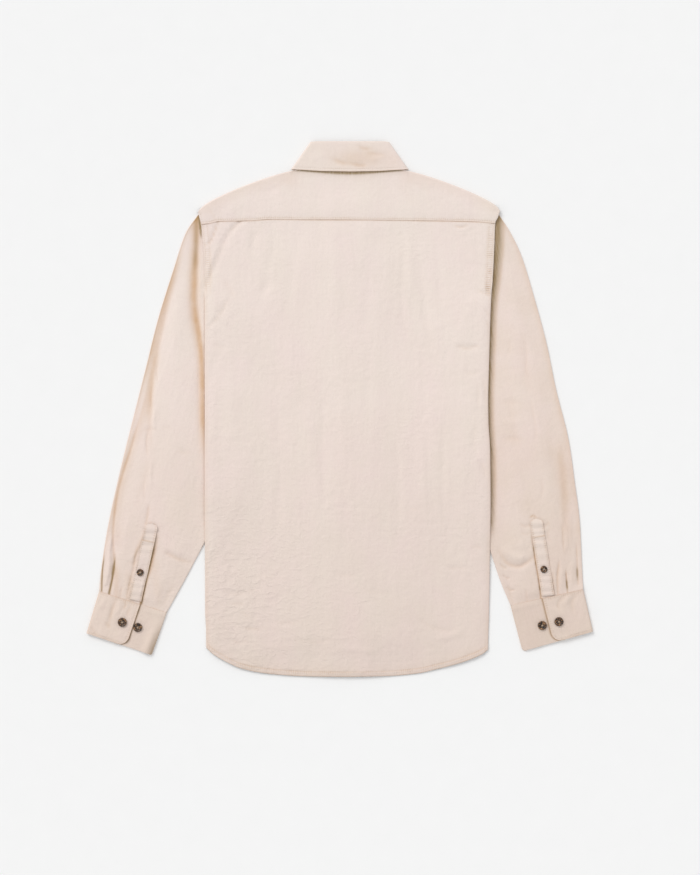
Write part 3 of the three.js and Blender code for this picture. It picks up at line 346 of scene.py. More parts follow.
SLEEVE_CREASES = {
    "left": [
        (
            [(-229, 290), (-230, 256), (-231.5, 227), (-233, 200), (-234, 172), (-233, 148), (-228.5, 120),
             (-224.5, 92), (-223, 60)],
            -1.8, 7, 10.5, 1, 0, 0.75,
        ),
        (
            [(-231, 160), (-226.5, 120), (-223, 92), (-221, 50), (-220.5, 0), (-219.5, -50), (-218.5, -90)],
            -1.3, 5, 9, 0, 0, 0.82,
        ),
        ([(-228, 292), (-228, 240), (-229, 180), (-227, 120), (-223, 60)], 0, 13, 14, 0.8, 0, 0.18),
        ([(-353, -226), (-351, -253), (-351, -282)], 0, 8, 6, 0.2, 1, 0.26),
        ([(-334, -236), (-329, -286)], 0, 9, 9, 0.2, 1, 0.12),
        ([(-299, -206), (-293, -240), (-287, -290)], 0, 9, 8, 0.2, 0.8, 0.12),
        ([(-225, 284), (-224.5, 250), (-223.6, 215), (-224, 170), (-222, 120)], 1.6, 4, 3, 0.4, 0.1, 0),
        (
            [(-250, 240), (-262, 200), (-274, 160), (-285, 112), (-292, 76), (-297, 44), (-300, 10),
             (-300, -40), (-296, -80)],
            -1.3, 6, 8, 0, 0, 0.36,
        ),
        ([(-284, 84), (-289, 50), (-292, 10), (-294, -20), (-296, -60)], 0.6, 7, 4, 0, 0, 0),
        (
            [(-309, 10), (-322, -34), (-330, -62), (-339, -88), (-348, -120), (-353, -150), (-356, -185),
             (-355, -214), (-354, -232), (-357, -254), (-361, -277)],
            -1.9, 3, 2.4, 0.1, 1, 0.4,
        ),
        (
            [(-293, 76), (-299, 52), (-306, 20), (-314, -14), (-326, -46), (-334.5, -76), (-343, -106),
             (-350, -136), (-354, -166), (-351, -200)],
            0, 12, 3.5, 0.5, 0.4, 0.28,
        ),
        ([(-352, -176), (-360, -205), (-361, -236), (-366, -262)], 2.1, 2, 5, 0.1, 0.9, 0),
        ([(-346, -206), (-345, -238), (-350, -268)], 0.8, 6, 4, 0, 0.6, 0),
        ([(-364, -190), (-369, -215), (-371.5, -240), (-372.5, -273)], -2.4, 1.2, 1.8, 0.1, 1, 0.6),
        ([(-283.5, -211), (-266.6, -221), (-250, -228), (-236, -230)], -1.5, 4.5, 3.5, 0, 0.3, 0.2),
        ([(-285, -202), (-266, -212), (-248, -220)], 0.9, 6, 5, 0, 0, 0),
        ([(-306, -171), (-303.5, -159), (-301.6, -140)], -0.8, 3, 3, 0.8, 0, 0.3),
        ([(-287.5, -180), (-292, -203), (-297, -223), (-301.5, -243), (-308, -262), (-315, -290)], -1.5,
         5, 0.9, 0.1, 1, 0.75),
        ([(-305, -176), (-311, -194), (-320, -214), (-328, -232)], 0.9, 2.5, 4, 0.3, 0, 0.1),
        ([(-314, -196), (-321, -216), (-325, -240), (-331, -264)], -1.3, 3, 3, 0.2, 0.6, 0.25),
        ([(-318, -228), (-326, -232), (-334, -228)], -0.8, 2.2, 2.2, 0.6, 0, 0.1),
        ([(-322, -246), (-331, -250), (-340, -246)], 0.7, 2.4, 2.4, 0.6, 0, 0),
        ([(-262, -60), (-248, -66), (-236, -62)], -0.6, 5, 4, 0, 0, 0.05),
        ([(-287, 74), (-290, 56), (-288, 36)], -1.3, 2.2, 2, 0, 0, 0.12),
        ([(-296, 40), (-299, 20), (-297, -4)], -1.4, 2, 2.4, 0, 0, 0.14),
        ([(-291, 6), (-294, -16), (-291, -40)], 1.2, 2, 2.4, 0, 0, 0),
        ([(-301, -24), (-305, -48), (-303, -76)], -1.2, 2.2, 2.4, 0, 0, 0.12),
        ([(-296, -70), (-299, -96), (-296, -124)], 1.1, 2.4, 2.4, 0, 0, 0),
        ([(-306, -96), (-309, -120), (-306, -146)], -0.7, 2.4, 2.4, 0, 0, 0.06),
        ([(-286, -30), (-276, -28), (-264, -30)], -0.5, 3, 2.5, 0, 0, 0.05),
        ([(-314, -33), (-298, -30), (-284, -32)], -0.9, 2, 2, 0, 0, 0.1),
        ([(-256, 210), (-262, 140), (-270, 60)], 0.8, 10, 12, 0, 0, 0),
        ([(-262, -20), (-276, -80), (-280, -140)], 1, 14, 14, 0, 0, 0),
        ([(-300, -70), (-312, -120), (-322, -160)], -0.6, 8, 8, 0, 0, 0.06),
        ([(-330, -150), (-338, -200), (-340, -250)], 0.7, 6, 6, 0, 0, 0),
        ([(-272, -240), (-284, -262), (-290, -292)], 0.8, 6, 6, 0, 0.4, 0),
        ([(-262, -262), (-274, -280), (-280, -298)], -0.7, 4, 4, 0, 0.5, 0.06),
        ([(-298, -296), (-288, -302), (-278, -305)], -0.9, 2, 2, 0.2, 0.7, 0.3),
        ([(-330, -262), (-333, -272), (-335, -283)], -0.8, 2.5, 2.5, 0, 1, 0.12),
        ([(-341, -264), (-343, -272), (-345, -281)], -0.7, 2, 2, 0, 1, 0.12),
    ],
    "right": [
        ([(221, 290), (219, 256), (218, 215), (216, 170)], -1.2, 7, 5, 1, 0.4, 0.2),
        ([(227, 274), (236, 246), (240, 226)], 0.6, 8, 8, 0, 0, 0),
        ([(224, -213), (236, -231), (254, -236.5), (268, -229), (277, -221)], -2.8, 4, 3.5, 0.2, 0.3, 0.3),
        ([(228, -204), (242, -221), (256, -223), (268, -215)], 1.8, 6, 5, 0, 0, 0),
        ([(240, -196), (254, -205), (268, -200)], 0.9, 6, 6, 0, 0, 0),
        ([(312, -30), (318, -80), (322, -132), (324, -170), (325, -212)], -0.8, 12, 9, 0, 0.1, 0.27),
        ([(330, -150), (331, -180), (331, -215)], 0.7, 3, 5, 0, 0, 0),
        ([(318, -130), (319, -160), (320, -200), (321, -236)], 0.5, 4, 3, 0, 0, 0),
        ([(340, -196), (341.5, -230), (343, -262)], -2, 2, 1.6, 0, 0.9, 0.3),
        ([(324.4, -238), (325.6, -256), (327, -276)], -2.2, 1.2, 1.6, 0, 0.8, 0.5),
        ([(315, -222), (311.5, -252), (312.5, -277)], -1.4, 2.6, 2.2, 0, 1, 0.25),
        ([(334, -222), (333.5, -248), (335, -272)], 1.2, 4, 4, 0, 0.5, 0),
        ([(319, -234), (318, -258), (319.5, -274)], 1, 3, 3, 0, 0.5, 0),
        ([(304, -240), (305, -258), (306, -276)], -0.7, 2.5, 2.5, 0, 0.8, 0.15),
        ([(272, -192), (276, -212), (279, -234), (284, -262), (287, -288)], -1.3, 3, 1, 0.4, 1, 0.7),
        ([(292, -176), (298, -171), (302, -170)], -0.6, 2, 2, 0.5, 0, 0.15),
        ([(254, -170), (262, -176), (272, -175)], -1.1, 2.2, 2, 0, 0.6, 0.16),
        ([(269, -163), (275, -160.5), (281, -163)], -0.9, 2, 2, 0.2, 0.2, 0.5),
        ([(256, -183), (263, -188), (272, -186)], -0.8, 2, 2, 0, 0.4, 0.1),
        ([(300, -176), (297, -190), (303, -204)], -0.7, 2.2, 2, 0.3, 0, 0.08),
        ([(319, -168), (320, -196), (322, -216)], -1, 2, 1.8, 0, 0.3, 0.16),
        ([(325, -166), (326, -190), (326.5, -212)], 0.8, 2.2, 2, 0, 0.3, 0),
        ([(227, -234), (232, -238), (238, -238)], -1.6, 1.8, 1.8, 0.8, 0, 0.24),
        ([(231, -250), (236, -254), (242, -254)], -1.4, 1.8, 1.8, 0.8, 0, 0.2),
        ([(236, -268), (242, -272), (250, -271)], -1.4, 1.8, 1.8, 0.8, 0, 0.18),
        ([(258, 114), (265.5, 89), (264.5, 60), (272, 37)], -0.7, 3, 2.6, 0, 0, 0.06),
        ([(237.5, 107), (240, 92), (238.5, 78)], -0.6, 3, 3, 0, 0, 0.04),
        ([(272, 23), (275, -5), (279.5, -33), (276, -57)], -0.7, 2.6, 2.8, 0, 0, 0.06),
        ([(223, 7), (242, 11), (261, 6)], -0.7, 4, 4, 0, 0, 0.05),
        ([(221, -14), (240, -21), (265, -19)], 0.7, 5, 5, 0, 0, 0),
        ([(223, -47), (243, -44), (265, -48)], -0.7, 4, 4, 0, 0, 0.05),
        ([(228, 58), (243, 61), (257, 59)], -0.5, 4, 4, 0, 0, 0.03),
        ([(286, -96), (289, -118), (286, -142)], -0.6, 3, 3, 0, 0, 0.05),
        ([(256, 120), (262, 70), (268, 20)], -0.6, 9, 9, 0, 0, 0.06),
        ([(280, 100), (288, 40), (296, -10)], 0.7, 10, 12, 0, 0, 0),
        ([(240, 40), (246, -20), (250, -80)], -0.6, 9, 11, 0, 0, 0.05),
        ([(296, -20), (306, -80), (312, -130)], -0.7, 10, 9, 0, 0, 0.05),
        ([(246, -250), (250, -272), (256, -290)], 0.8, 6, 6, 0, 0.4, 0),
        ([(238, -262), (241, -276), (245, -290)], -0.7, 3, 3, 0, 0.7, 0.1),
        ([(264, -268), (266, -282), (268, -292)], -0.6, 3, 3, 0, 0.8, 0.1),
    ],
}
CUFF_CREASES = {
    "left": [
        ([(-350, -283), (-357, -302), (-362, -324)], -0.8, 4, 3.5, 0.4, 0.2, 0.24),
        ([(-339, -288), (-337, -294), (-341, -301)], -0.6, 3, 2.5, 0.6, 0.2, 0.22),
        ([(-329, -297), (-333, -305), (-334, -313)], -0.5, 3, 3, 0.3, 0.2, 0.16),
        ([(-346, -290), (-346, -299), (-350, -308)], 0.5, 2.5, 2.5, 0.6, 0, 0),
        ([(-366, -282), (-372, -294), (-382, -300)], 0.6, 4, 4, 0.4, 0, 0),
        ([(-368, -318), (-362, -326), (-358, -330)], -0.5, 4, 3.5, 0, 0, 0.18),
        ([(-378, -326), (-371, -338), (-362, -346)], 0.6, 4, 4, 0, 0.4, 0),
        ([(-392, -322), (-384, -334), (-376, -342)], -0.5, 3.5, 3.5, 0.3, 0, 0.12),
        ([(-358, -342), (-342, -338), (-328, -346)], 0.35, 3.5, 3.5, 0, 0, 0),
    ],
    "right": [
        ([(344, -275), (334, -290), (336, -312)], -0.7, 4, 3.5, 0.5, 0, 0.08),
        ([(322, -282), (313, -292), (316, -306)], -0.7, 3, 3, 0.7, 0, 0.08),
        ([(332, -278), (325, -288), (322, -298)], 0.6, 2.8, 2.8, 0.6, 0, 0),
        ([(354, -284), (350, -298), (356, -312)], 0.5, 4, 4, 0.4, 0, 0),
        ([(300, -300), (312, -303), (322, -314)], 0.5, 3, 3, 0.3, 0, 0),
        ([(352, -306), (344, -322), (350, -334)], 0.35, 5, 5, 0, 0.4, 0),
        ([(330, -334), (318, -338), (306, -334)], -0.35, 4, 4, 0, 0, 0),
    ],
}
# Painted shade beside the steep folds, in the same columns; here the core is how dark the shade is.
SLEEVE_SHADES = {
    "left": [
        ([(-352, -218), (-354, -236), (-357, -256), (-361.5, -277)], 0, 1.9, 2.1, 0.1, 1, 1.5),
        ([(-355, -232), (-355.5, -240), (-357, -252)], 0, 3.6, 3, 0.1, 0.1, 0.9),
        ([(-290.5, -186), (-291.6, -196), (-296.4, -218), (-302.6, -246), (-307.2, -266), (-313, -292)], 0,
         1.9, 2.7, 0.4, 1, 1.25),
        ([(-226.6, 291), (-224.4, 273), (-222.6, 254)], 0, 2.2, 2.2, 1, 0.1, 1.3),
        ([(-230, 288), (-231, 256), (-232, 227), (-234, 196)], 0, 5, 6, 1, 0, 0.45),
        ([(-368, -214), (-371.5, -244), (-372.5, -273)], 0, 1.6, 1.9, 0, 1, 0.95),
        ([(-311, -195), (-315.6, -206.5), (-322.6, -221.5), (-326, -234)], 0, 1.8, 1.8, 0.6, 0.3, 0.42),
        ([(-328, -248), (-331, -262), (-333, -272)], 0, 1.6, 1.6, 0, 0.3, 0.2),
    ],
    "right": [
        ([(341, -236), (341.6, -246), (342, -256)], 0, 2, 2, 0.1, 0.2, 0.95),
        ([(325.4, -254), (326.2, -264), (327, -273)], 0, 2, 2, 0.1, 0.3, 1.1),
        ([(272, -184), (274, -196), (276.4, -212), (280, -234), (284.4, -262), (288, -284)], 0, 1.5, 1.5,
         0.2, 0.5, 0.26),
        ([(275.4, -205), (276, -210), (276.8, -216)], 0, 1.4, 1.4, 0, 0, 0.8),
        ([(278.4, -228), (278.8, -232), (279.4, -236)], 0, 1.2, 1.2, 0, 0, 0.7),
        ([(284, -264), (284.8, -269), (285.4, -274)], 0, 1.4, 1.4, 0, 0, 0.8),
    ],
}


# ---------------------------------------------------------------- small helpers
def lerp(start, end, share):
    return start + (end - start) * share


def smooth(start, end, value):
    share = np.clip((value - start) / (end - start), 0, 1)
    return share * share * (3 - 2 * share)


def bell(away, width):
    return np.exp(-((away / width) ** 2))


def through(rows):
    """A smooth function through (at, value) rows, with no overshoot between them."""
    rows = sorted(rows)
    at = np.array([row[0] for row in rows], float)
    value = np.array([row[1] for row in rows], float)
    slope = np.diff(value) / np.diff(at)
    tangent = np.empty(len(at))
    tangent[0] = slope[0]
    tangent[-1] = slope[-1]
    before = slope[:-1]
    after = slope[1:]
    same = before * after > 0
    tangent[1:-1] = np.where(same, 2 * before * after / np.where(same, before + after, 1), 0)

    def curve(where):
        where = np.clip(where, at[0], at[-1])
        i = np.clip(np.searchsorted(at, where, side="right") - 1, 0, len(slope) - 1)
        width = at[i + 1] - at[i]
        t = (where - at[i]) / width
        rest = 1 - t
        ends = rest * rest * (1 + 2 * t) * value[i] + t * t * (3 - 2 * t) * value[i + 1]
        return ends + t * rest * width * (rest * tangent[i] - t * tangent[i + 1])

    return curve


class Line:
    """A smooth line through plan points, followed by share of its length."""

    def __init__(self, points, steps=16):
        points = np.array(points, float)
        ends = np.vstack([2 * points[0] - points[1], points, 2 * points[-1] - points[-2]])
        parts = []
        t = np.linspace(0, 1, steps, endpoint=False)[:, None]
        for a, b, c, d in zip(ends, ends[1:], ends[2:], ends[3:]):
            bend = (2 * a - 5 * b + 4 * c - d) * t * t + (3 * b - a - 3 * c + d) * t**3
            parts.append(0.5 * (2 * b + (c - a) * t + bend))
        self.points = np.vstack([*parts, points[-1:]])
        run = np.hypot(*np.diff(self.points, axis=0).T)
        self.at = np.concatenate([[0], np.cumsum(run)])
        self.length = self.at[-1]

    def point(self, share):
        run = np.asarray(share) * self.length
        x = np.interp(run, self.at, self.points[:, 0])
        y = np.interp(run, self.at, self.points[:, 1])
        return np.stack([x, y], -1)

    def along(self, share):
        step = 0.002
        ahead = self.point(np.clip(np.asarray(share) + step, 0, 1))
        way = ahead - self.point(np.clip(np.asarray(share) - step, 0, 1))
        return way / np.linalg.norm(way, axis=-1, keepdims=True)

    def normal(self, share):
        way = self.along(share)
        return np.stack([-way[..., 1], way[..., 0]], -1)


def relief(creases, x, y):
    """Height, and painted warm shade along their cores, that a table of creases gives at plan points."""
    height = np.zeros(np.shape(x))
    warm_shade = np.zeros(np.shape(x))
    for points, size, left, right, begin, end, core_shade in creases:
        line = Line(points, 6)
        reach = 3 * max(left, right)
        low = line.points.min(axis=0) - reach
        high = line.points.max(axis=0) + reach
        near = (x > low[0]) & (x < high[0]) & (y > low[1]) & (y < high[1])
        if not near.any():
            continue
        at_x = x[near]
        at_y = y[near]
        best = np.full(at_x.shape, 1e9)
        side = np.zeros(at_x.shape)
        share = np.zeros(at_x.shape)
        for k in range(len(line.points) - 1):
            a = line.points[k]
            d = line.points[k + 1] - a
            t = np.clip(((at_x - a[0]) * d[0] + (at_y - a[1]) * d[1]) / (d @ d), 0, 1)
            away = np.hypot(at_x - a[0] - t * d[0], at_y - a[1] - t * d[1])
            closer = away < best
            best = np.where(closer, away, best)
            side = np.where(closer, d[0] * (at_y - a[1]) - d[1] * (at_x - a[0]), side)
            share = np.where(closer, lerp(line.at[k], line.at[k + 1], t) / line.length, share)
        width = np.where(side > 0, left, right)
        fade = lerp(begin, 1, smooth(0, 0.35, share)) * lerp(end, 1, smooth(0, 0.35, 1 - share))
        height[near] += size * bell(best, width) * fade
        warm_shade[near] += core_shade * bell(best, 0.7 * width) * fade
    return height, warm_shade


def rumple(x, y, across, along, seed, lift):
    """Fine crinkles: raised lines of uneven length, in patches, never below the sheet."""
    made = np.empty(np.shape(x))
    flat_x = np.ravel(x)
    flat_y = np.ravel(y)
    out = made.ravel()
    for i in range(len(flat_x)):
        spot = Vector((flat_x[i] / across, flat_y[i] / along, seed))
        patch = noise.noise(Vector((flat_x[i] / 95, flat_y[i] / 95, seed + 9)))
        line = 1 - min(1, 2.6 * abs(noise.noise(spot)))
        slow = 0.5 + 0.5 * noise.noise(spot * 0.31)
        out[i] = lift * (line * line * max(0, 0.35 + 1.3 * patch) + 0.8 * slow)
    return out.reshape(np.shape(x))


def sided(rows):
    """A function of x and y from (y, left, right) rows."""
    left = through([(row[0], row[1]) for row in rows])
    right = through([(row[0], row[2]) for row in rows])
    return lambda x, y: np.where(np.asarray(x) < 0, left(y), right(y))


edge_at = sided(EDGE)
hem_rise = sided(HEM)
yoke_line_at = sided(YOKE_LINE)
shoulder_y = through(SHOULDER)
outer_of = {side: through([(y, x) for x, y in SLEEVES[side]["outer"]]) for side in SLEEVES}
inner_of = {side: through([(y, x) for x, y in [UNDERARM, *SLEEVES[side]["inner"]]]) for side in SLEEVES}


def yoke_seam(x):
    return yoke_line_at(x, np.abs(x))


def inside_edge(x, y):
    """Distance in from the body's side."""
    return edge_at(x, y) - np.abs(x)


# ---------------------------------------------------------------- where the layers lie
def sleeve_limit(x, y):
    inner = np.where(np.asarray(x) < 0, inner_of["left"](y), inner_of["right"](y))
    crossing = edge_at(x, EDGE_TURNS) - TUCK
    above = lerp(UNDERARM[0], crossing, (y - UNDERARM[1]) / (EDGE_TURNS - UNDERARM[1]))
    return np.where(y <= UNDERARM[1], inner, above)


def roll_angle(y):
    return math.pi * (1 - smooth(*EDGE_ROLL, y))


def roll_share(y):
    return (1 - np.cos(roll_angle(y))) / 2


def sleeve_lift(x, y):
    limit = sleeve_limit(x, y) + SLEEVE_SPREAD * np.maximum(0, y - EDGE_TURNS)
    return 2 * PITCH * smooth(limit - SLEEVE_CLIMB[0], limit - SLEEVE_CLIMB[1], np.abs(x))


def flap_lift(x, y):
    return 2 * PITCH * smooth(*FLAP_CLIMB, np.abs(x)) * roll_share(y)


def collar_lift(x, y):
    return COLLAR_RISE * (1 - smooth(*COLLAR_FALL, np.abs(x))) * smooth(*COLLAR_CLIMB, y)


def placket_share(x):
    return 1 - smooth(*PLACKET_CLIMB, np.abs(x))


def placket_lift(y):
    over_button = lerp(BUTTONS["front"]["thick"], BUTTON_LEFT, smooth(*BUTTON_CLIMB, y))
    return GAP + PITCH + over_button


def front_level(x, y):
    lying = sleeve_lift(x, y) + flap_lift(x, y) + collar_lift(x, y)
    return FLOOR + np.maximum(lying, placket_lift(y) * placket_share(x))


def front_right_level(x, y):
    return front_level(x, y) + PITCH * placket_share(x)


def hem_at(x):
    return HEM_LOW + hem_rise(x, np.abs(x) / edge_at(x, HEM_LOW))


def soft_max(a, b, blend=0.5):
    """The higher of two levels, with the corner between them rounded."""
    return 0.5 * (a + b + np.sqrt((a - b) ** 2 + blend * blend))


def back_level(x, y):
    """The back drapes over what is under it: the placket in the middle, sleeves at the sides."""
    fullness = lerp(PITCH, BODY_RISE, smooth(*HEM_CLIMB, y - hem_at(x)))
    span = lerp(fullness, 2 * PITCH, smooth(*YOKE_CLIMB, y))
    over_sleeve = 2 * PITCH + 3 * PITCH * roll_share(y)
    low_side = PITCH + 2 * PITCH * roll_share(y) + 2 * PITCH * smooth(*LOW_SIDE_CLIMB, y)
    high_side = 2 * PITCH + 3 * PITCH * (1 - smooth(*HIGH_SIDE_FALL, y))
    side = np.maximum(lerp(low_side, high_side, smooth(*SIDES_JOIN, y)), span)
    drape = lerp(span, side, smooth(*DRAPE_CLIMB, np.abs(x)))
    middle = MIDDLE_RISE * bell(x, MIDDLE_WIDE) * smooth(*MIDDLE_CLIMB, y - hem_at(x))
    middle = middle * (1 - smooth(*YOKE_CLIMB, y))
    at_armhole = over_sleeve * smooth(*ARMHOLE_CLIMB, np.abs(x)) * smooth(*ARMHOLE_UP, y)
    on_front = front_right_level(x, y) + PITCH
    return soft_max(soft_max(on_front, FLOOR + drape + middle, 1.2), FLOOR + at_armhole)


def edge_drop(x, y, most):
    """How far a body panel sinks just before its side fold."""
    inside = np.maximum(inside_edge(x, y), 0)
    return lerp(most, DROP_LEFT * most, smooth(*DROP_FADES, y)) * bell(inside, DROP_WIDE)


def settle(x, y):
    """Share of its height that a body panel keeps: the layers press together near the hem."""
    low_side = (1 - smooth(*PRESSED_LOW, y)) * smooth(*PRESSED_SIDE, np.abs(x))
    return 1 - PRESSED * np.maximum(1 - smooth(*PRESSED_HEM, y - hem_at(x)), low_side)


def under_yoke_level(x):
    return FLOOR + collar_lift(x, TOP_ROW)


def back_neck(x):
    return lerp(BACK_NECK, shoulder_y(NECK_HALF), (x / NECK_HALF) ** 2)


def front_top(x):
    across = np.abs(x)
    corner = shoulder_y(NECK_HALF) - YOKE_FRONT - GAP
    neck = lerp(FRONT_NECK, corner, np.minimum(1, across / NECK_HALF) ** 2.2)
    return np.where(across >= NECK_HALF, shoulder_y(across) - YOKE_FRONT - GAP, neck)


def hem_form(x, y):
    """The hem's turned band and the stitched groove along its top: height and painted shade."""
    up = y - hem_at(x)
    band = 0.55 * (1 - smooth(HEM_BAND - 1, HEM_BAND + 1.2, up)) * smooth(-0.5, 1.2, up)
    groove = -0.45 * bell(up - HEM_BAND, 0.9)
    pucker = np.sin(x / 3.1 + 2.2 * np.sin(x / 17)) * bell(up - HEM_BAND, 4)
    warm_shade = 0.3 * bell(up, 1.6) + 0.25 * bell(up - HEM_BAND, 0.9)
    warm_shade = warm_shade + 0.05 * (1 - smooth(0.6 * HEM_BAND, 4 * HEM_BAND, up))
    return band + groove + 0.2 * pucker, warm_shade


def armhole_sewn(y):
    """Share of the armhole's stitching: all of it between the fold at its foot and the yoke."""
    return smooth(*ARMHOLE_ROWS_BEGIN, y) * (1 - smooth(*ARMHOLE_ROWS_END, y))


def armhole_form(x, y):
    """The armhole's two stitched grooves: height, and painted shade in them."""
    inside = inside_edge(x, y)
    low, high = (bell(inside - at, 1.1) for at in ARMHOLE_ROWS)
    return -0.25 * (low + high) * armhole_sewn(y), 0.16 * (low + high) * armhole_sewn(y)


def back_gather(x, y):
    """Puckers along the armholes' two rows of stitches and across the hem's band."""
    inside = inside_edge(x, y)
    drawn = armhole_sewn(y) * lerp(2, 0.9, smooth(228, 250, y)) * np.where(x > 0, 1, 0.4)
    hem = bell(y - hem_at(x) - 0.8 * HEM_BAND, 3.4)
    return drawn * bell(inside - 6, 4.2) - 0.7 * hem


def back_top(x, y):
    """The back's middle surface and its painted warm shade, creases included."""
    crease, warm_shade = relief(BACK_CREASES, x, y)
    hem, hem_shade = hem_form(x, y)
    inside = smooth(0, 16, inside_edge(x, y))
    low_left = 1 + 0.7 * smooth(40, -200, y) * smooth(60, -120, x)
    fine = rumple(x, y, 17, 11, 3.1, 0.8) * lerp(0.35, 1, inside) * low_left
    under = smooth(TUCK + 4, TUCK, inside_edge(x, y)) * (y > EDGE_TURNS)
    over_sleeve = FLOOR + PITCH + 0.95
    low = np.maximum(front_right_level(x, y) + 0.9, over_sleeve * under)
    pressed = settle(x, y)
    z = np.maximum(back_level(x, y) + (2.1 * crease + fine) * lerp(0.3, 1, inside) / pressed, low)
    z = FLOOR + (z - FLOOR) * pressed + hem - edge_drop(x, y, 1.3)
    fallen = (1 - smooth(-2, 9, y - hem_at(x))) * lerp(0.35, 0.1, smooth(120, 205, np.abs(x)))
    z = lerp(z, FLOOR, fallen)
    gathered, groove_shade = armhole_form(x, y)
    # Painted shadow just below the yoke's lapped edge.
    seam = bell(yoke_seam(x) - y, 1.3)
    return z + gathered, warm_shade + hem_shade + groove_shade + 0.55 * seam


def yoke_top(x, y):
    seam = yoke_seam(x)
    over_back = back_level(x, y) + lerp(0.95, PITCH, smooth(0, 14, y - seam))
    z = lerp(over_back, NECK_LEVEL, smooth(*NECK_CLIMB, y))
    crease, warm_shade = relief(YOKE_CREASES, x, y)
    fine = rumple(x, y, 20, 13, 7.7, 0.2) * (1 - smooth(338, 350, y))
    seam_dip = -0.2 * bell(y - seam - YOKE_ROW, 1)
    fade = smooth(0, 10, y - seam) * (1 - smooth(330, 345, y))
    # Painted shade along the seam, below the shoulder fold, in the stitch groove and by the collar.
    near = bell(y - seam, 0.8)
    below_fold = shoulder_y(np.clip(np.abs(x), NECK_HALF, 216)) - y
    shoulder_shade = 0.11 * (1 - smooth(2, 24, below_fold)) * smooth(70, 100, np.abs(x))
    stitched = 0.14 * bell(y - seam - YOKE_ROW, 0.9)
    collar_shade = 0.1 * bell(np.abs(x) - 86, 13) * bell(y - 345, 11)
    collar_shade = collar_shade + 0.05 * bell(x - 18, 22) * bell(y - 348, 6)
    return z + crease * fade + fine + seam_dip, warm_shade + 0.25 * near + shoulder_shade + stitched + collar_shade


def leaf_shade(x, y):
    """The painted shadow on the yoke along the collar leaf's free edge, deepest at its two points."""
    below = leaf_edge(x) - y
    tips = bell(np.abs(x) - 86, 3)
    middle = bell(x, 50)
    line = bell(below - 0.4 - 1.3 * middle, 1.2 + 1.6 * middle + 0.6 * tips)
    soft = 0.2 * bell(np.maximum(below, 0), 7) * (np.abs(x) < 88)
    return line * (np.abs(x) < 92) * (0.85 + 0.25 * np.maximum(middle, tips)) + soft


def leaf_edge(x):
    return 356.4 + 3.2 * (np.minimum(np.abs(x), 92) / 88) ** 2


def sleeve_top(side, x, y):
    """A sleeve's upper surface: flat under the body, full between its folds, with its creases."""
    edge = edge_at(x, y)
    free = np.maximum(inner_of[side](y), edge + 2)
    to_outer = outer_of[side](y) - np.abs(x)
    to_inner = np.abs(x) - free
    full = SLEEVE_LOFT * smooth(0, LOFT_CLIMB, to_outer) * smooth(0, LOFT_CLIMB, to_inner)
    crease, warm_shade = relief(SLEEVE_CREASES[side], x, y)
    inside = smooth(0, 12, to_outer) * smooth(-2, 3, np.abs(x) - edge)
    fine = rumple(x, y, 11, 17, 1.3 if side == "left" else 5.9, 0.3)
    z = FLOOR + PITCH + full + (crease + fine) * lerp(0.25, 1, inside)
    z = np.maximum(z, FLOOR + 1.15)
    beside = np.abs(x) - edge
    hidden = 1 - smooth(-3, 0, beside)
    z = lerp(z, FLOOR + PITCH, hidden)
    beside = np.maximum(beside, -20)
    if side == "left":
        above = smooth(166, 178, y)
        near = (y > -125) & (beside < 11)
        sewn = np.zeros(np.shape(z))
        over = -np.minimum(np.abs(x), edge - 0.2)
        sewn[near] = back_top(over[near], y[near])[0]
        sewn = sewn - lerp(BACK_ROLL + 0.5, ARMHOLE_LAP, above)
        reach = smooth(lerp(-1.2, -20, above), lerp(0.3, -19, above), beside)
        close = reach * (1 - smooth(1.5, 10, beside)) * smooth(-120, 20, y) * near
        inside_back = np.minimum(np.maximum(z, sewn), lerp(99, sewn, above * (beside < 0.5)))
        z = lerp(z, inside_back, close)
    out, up = from_cuff(side, x, y)
    meets = lerp(CUFF_LEVELS["overlap"], CUFF_LEVELS["underlap"], smooth(-0.004, 0.004, out))
    z = lerp(meets - 0.3, z, smooth(0.5, 15, up))
    # Painted shade at the cuff seam and along the outer fold.
    seam = 0.12 * bell(up, 1.5)
    rim = 0.2 * bell(to_outer, 6) * smooth(-250, -150, y)
    if side == "left":
        # The left sleeve gets a wider painted warm band along its outer fold, and grows warmer towards the
        # cuff.
        banded = smooth(20, 80, y) * (1 - smooth(190, 250, y))
        rim = rim * 1.3 + 0.34 * banded * bell(to_outer, 7)
        tint = 0.05 * smooth(20, -160, y)
    else:
        # The right sleeve gets a painted warm fringe at the edge of the body's painted shadow, and an even
        # warm tint.
        shadow_fringe = bell(beside - 1.1 * shadow_reach(y), 3) * smooth(-205, -120, y)
        tint = 0.13 + 0.3 * shadow_fringe
    return z, warm_shade + rim + seam + tint


def from_cuff(side, x, y):
    """Share of the width past the cuff's overlap edge, and distance up from the cuff's top."""
    outer, inner = np.array(SLEEVES[side]["cuff_top"], float)
    width = np.linalg.norm(inner - outer)
    way = (inner - outer) / width
    across = (np.abs(x) - outer[0]) * way[0] + (y - outer[1]) * way[1]
    up = (np.abs(x) - outer[0]) * way[1] - (y - outer[1]) * way[0]
    return across / width - SLEEVES[side]["overlap"], up


def shadow_reach(y):
    """How far the body's shadow goes over the right sleeve."""
    return lerp(lerp(6, 7, smooth(20, 130, y)), 11.5, smooth(130, 250, y))


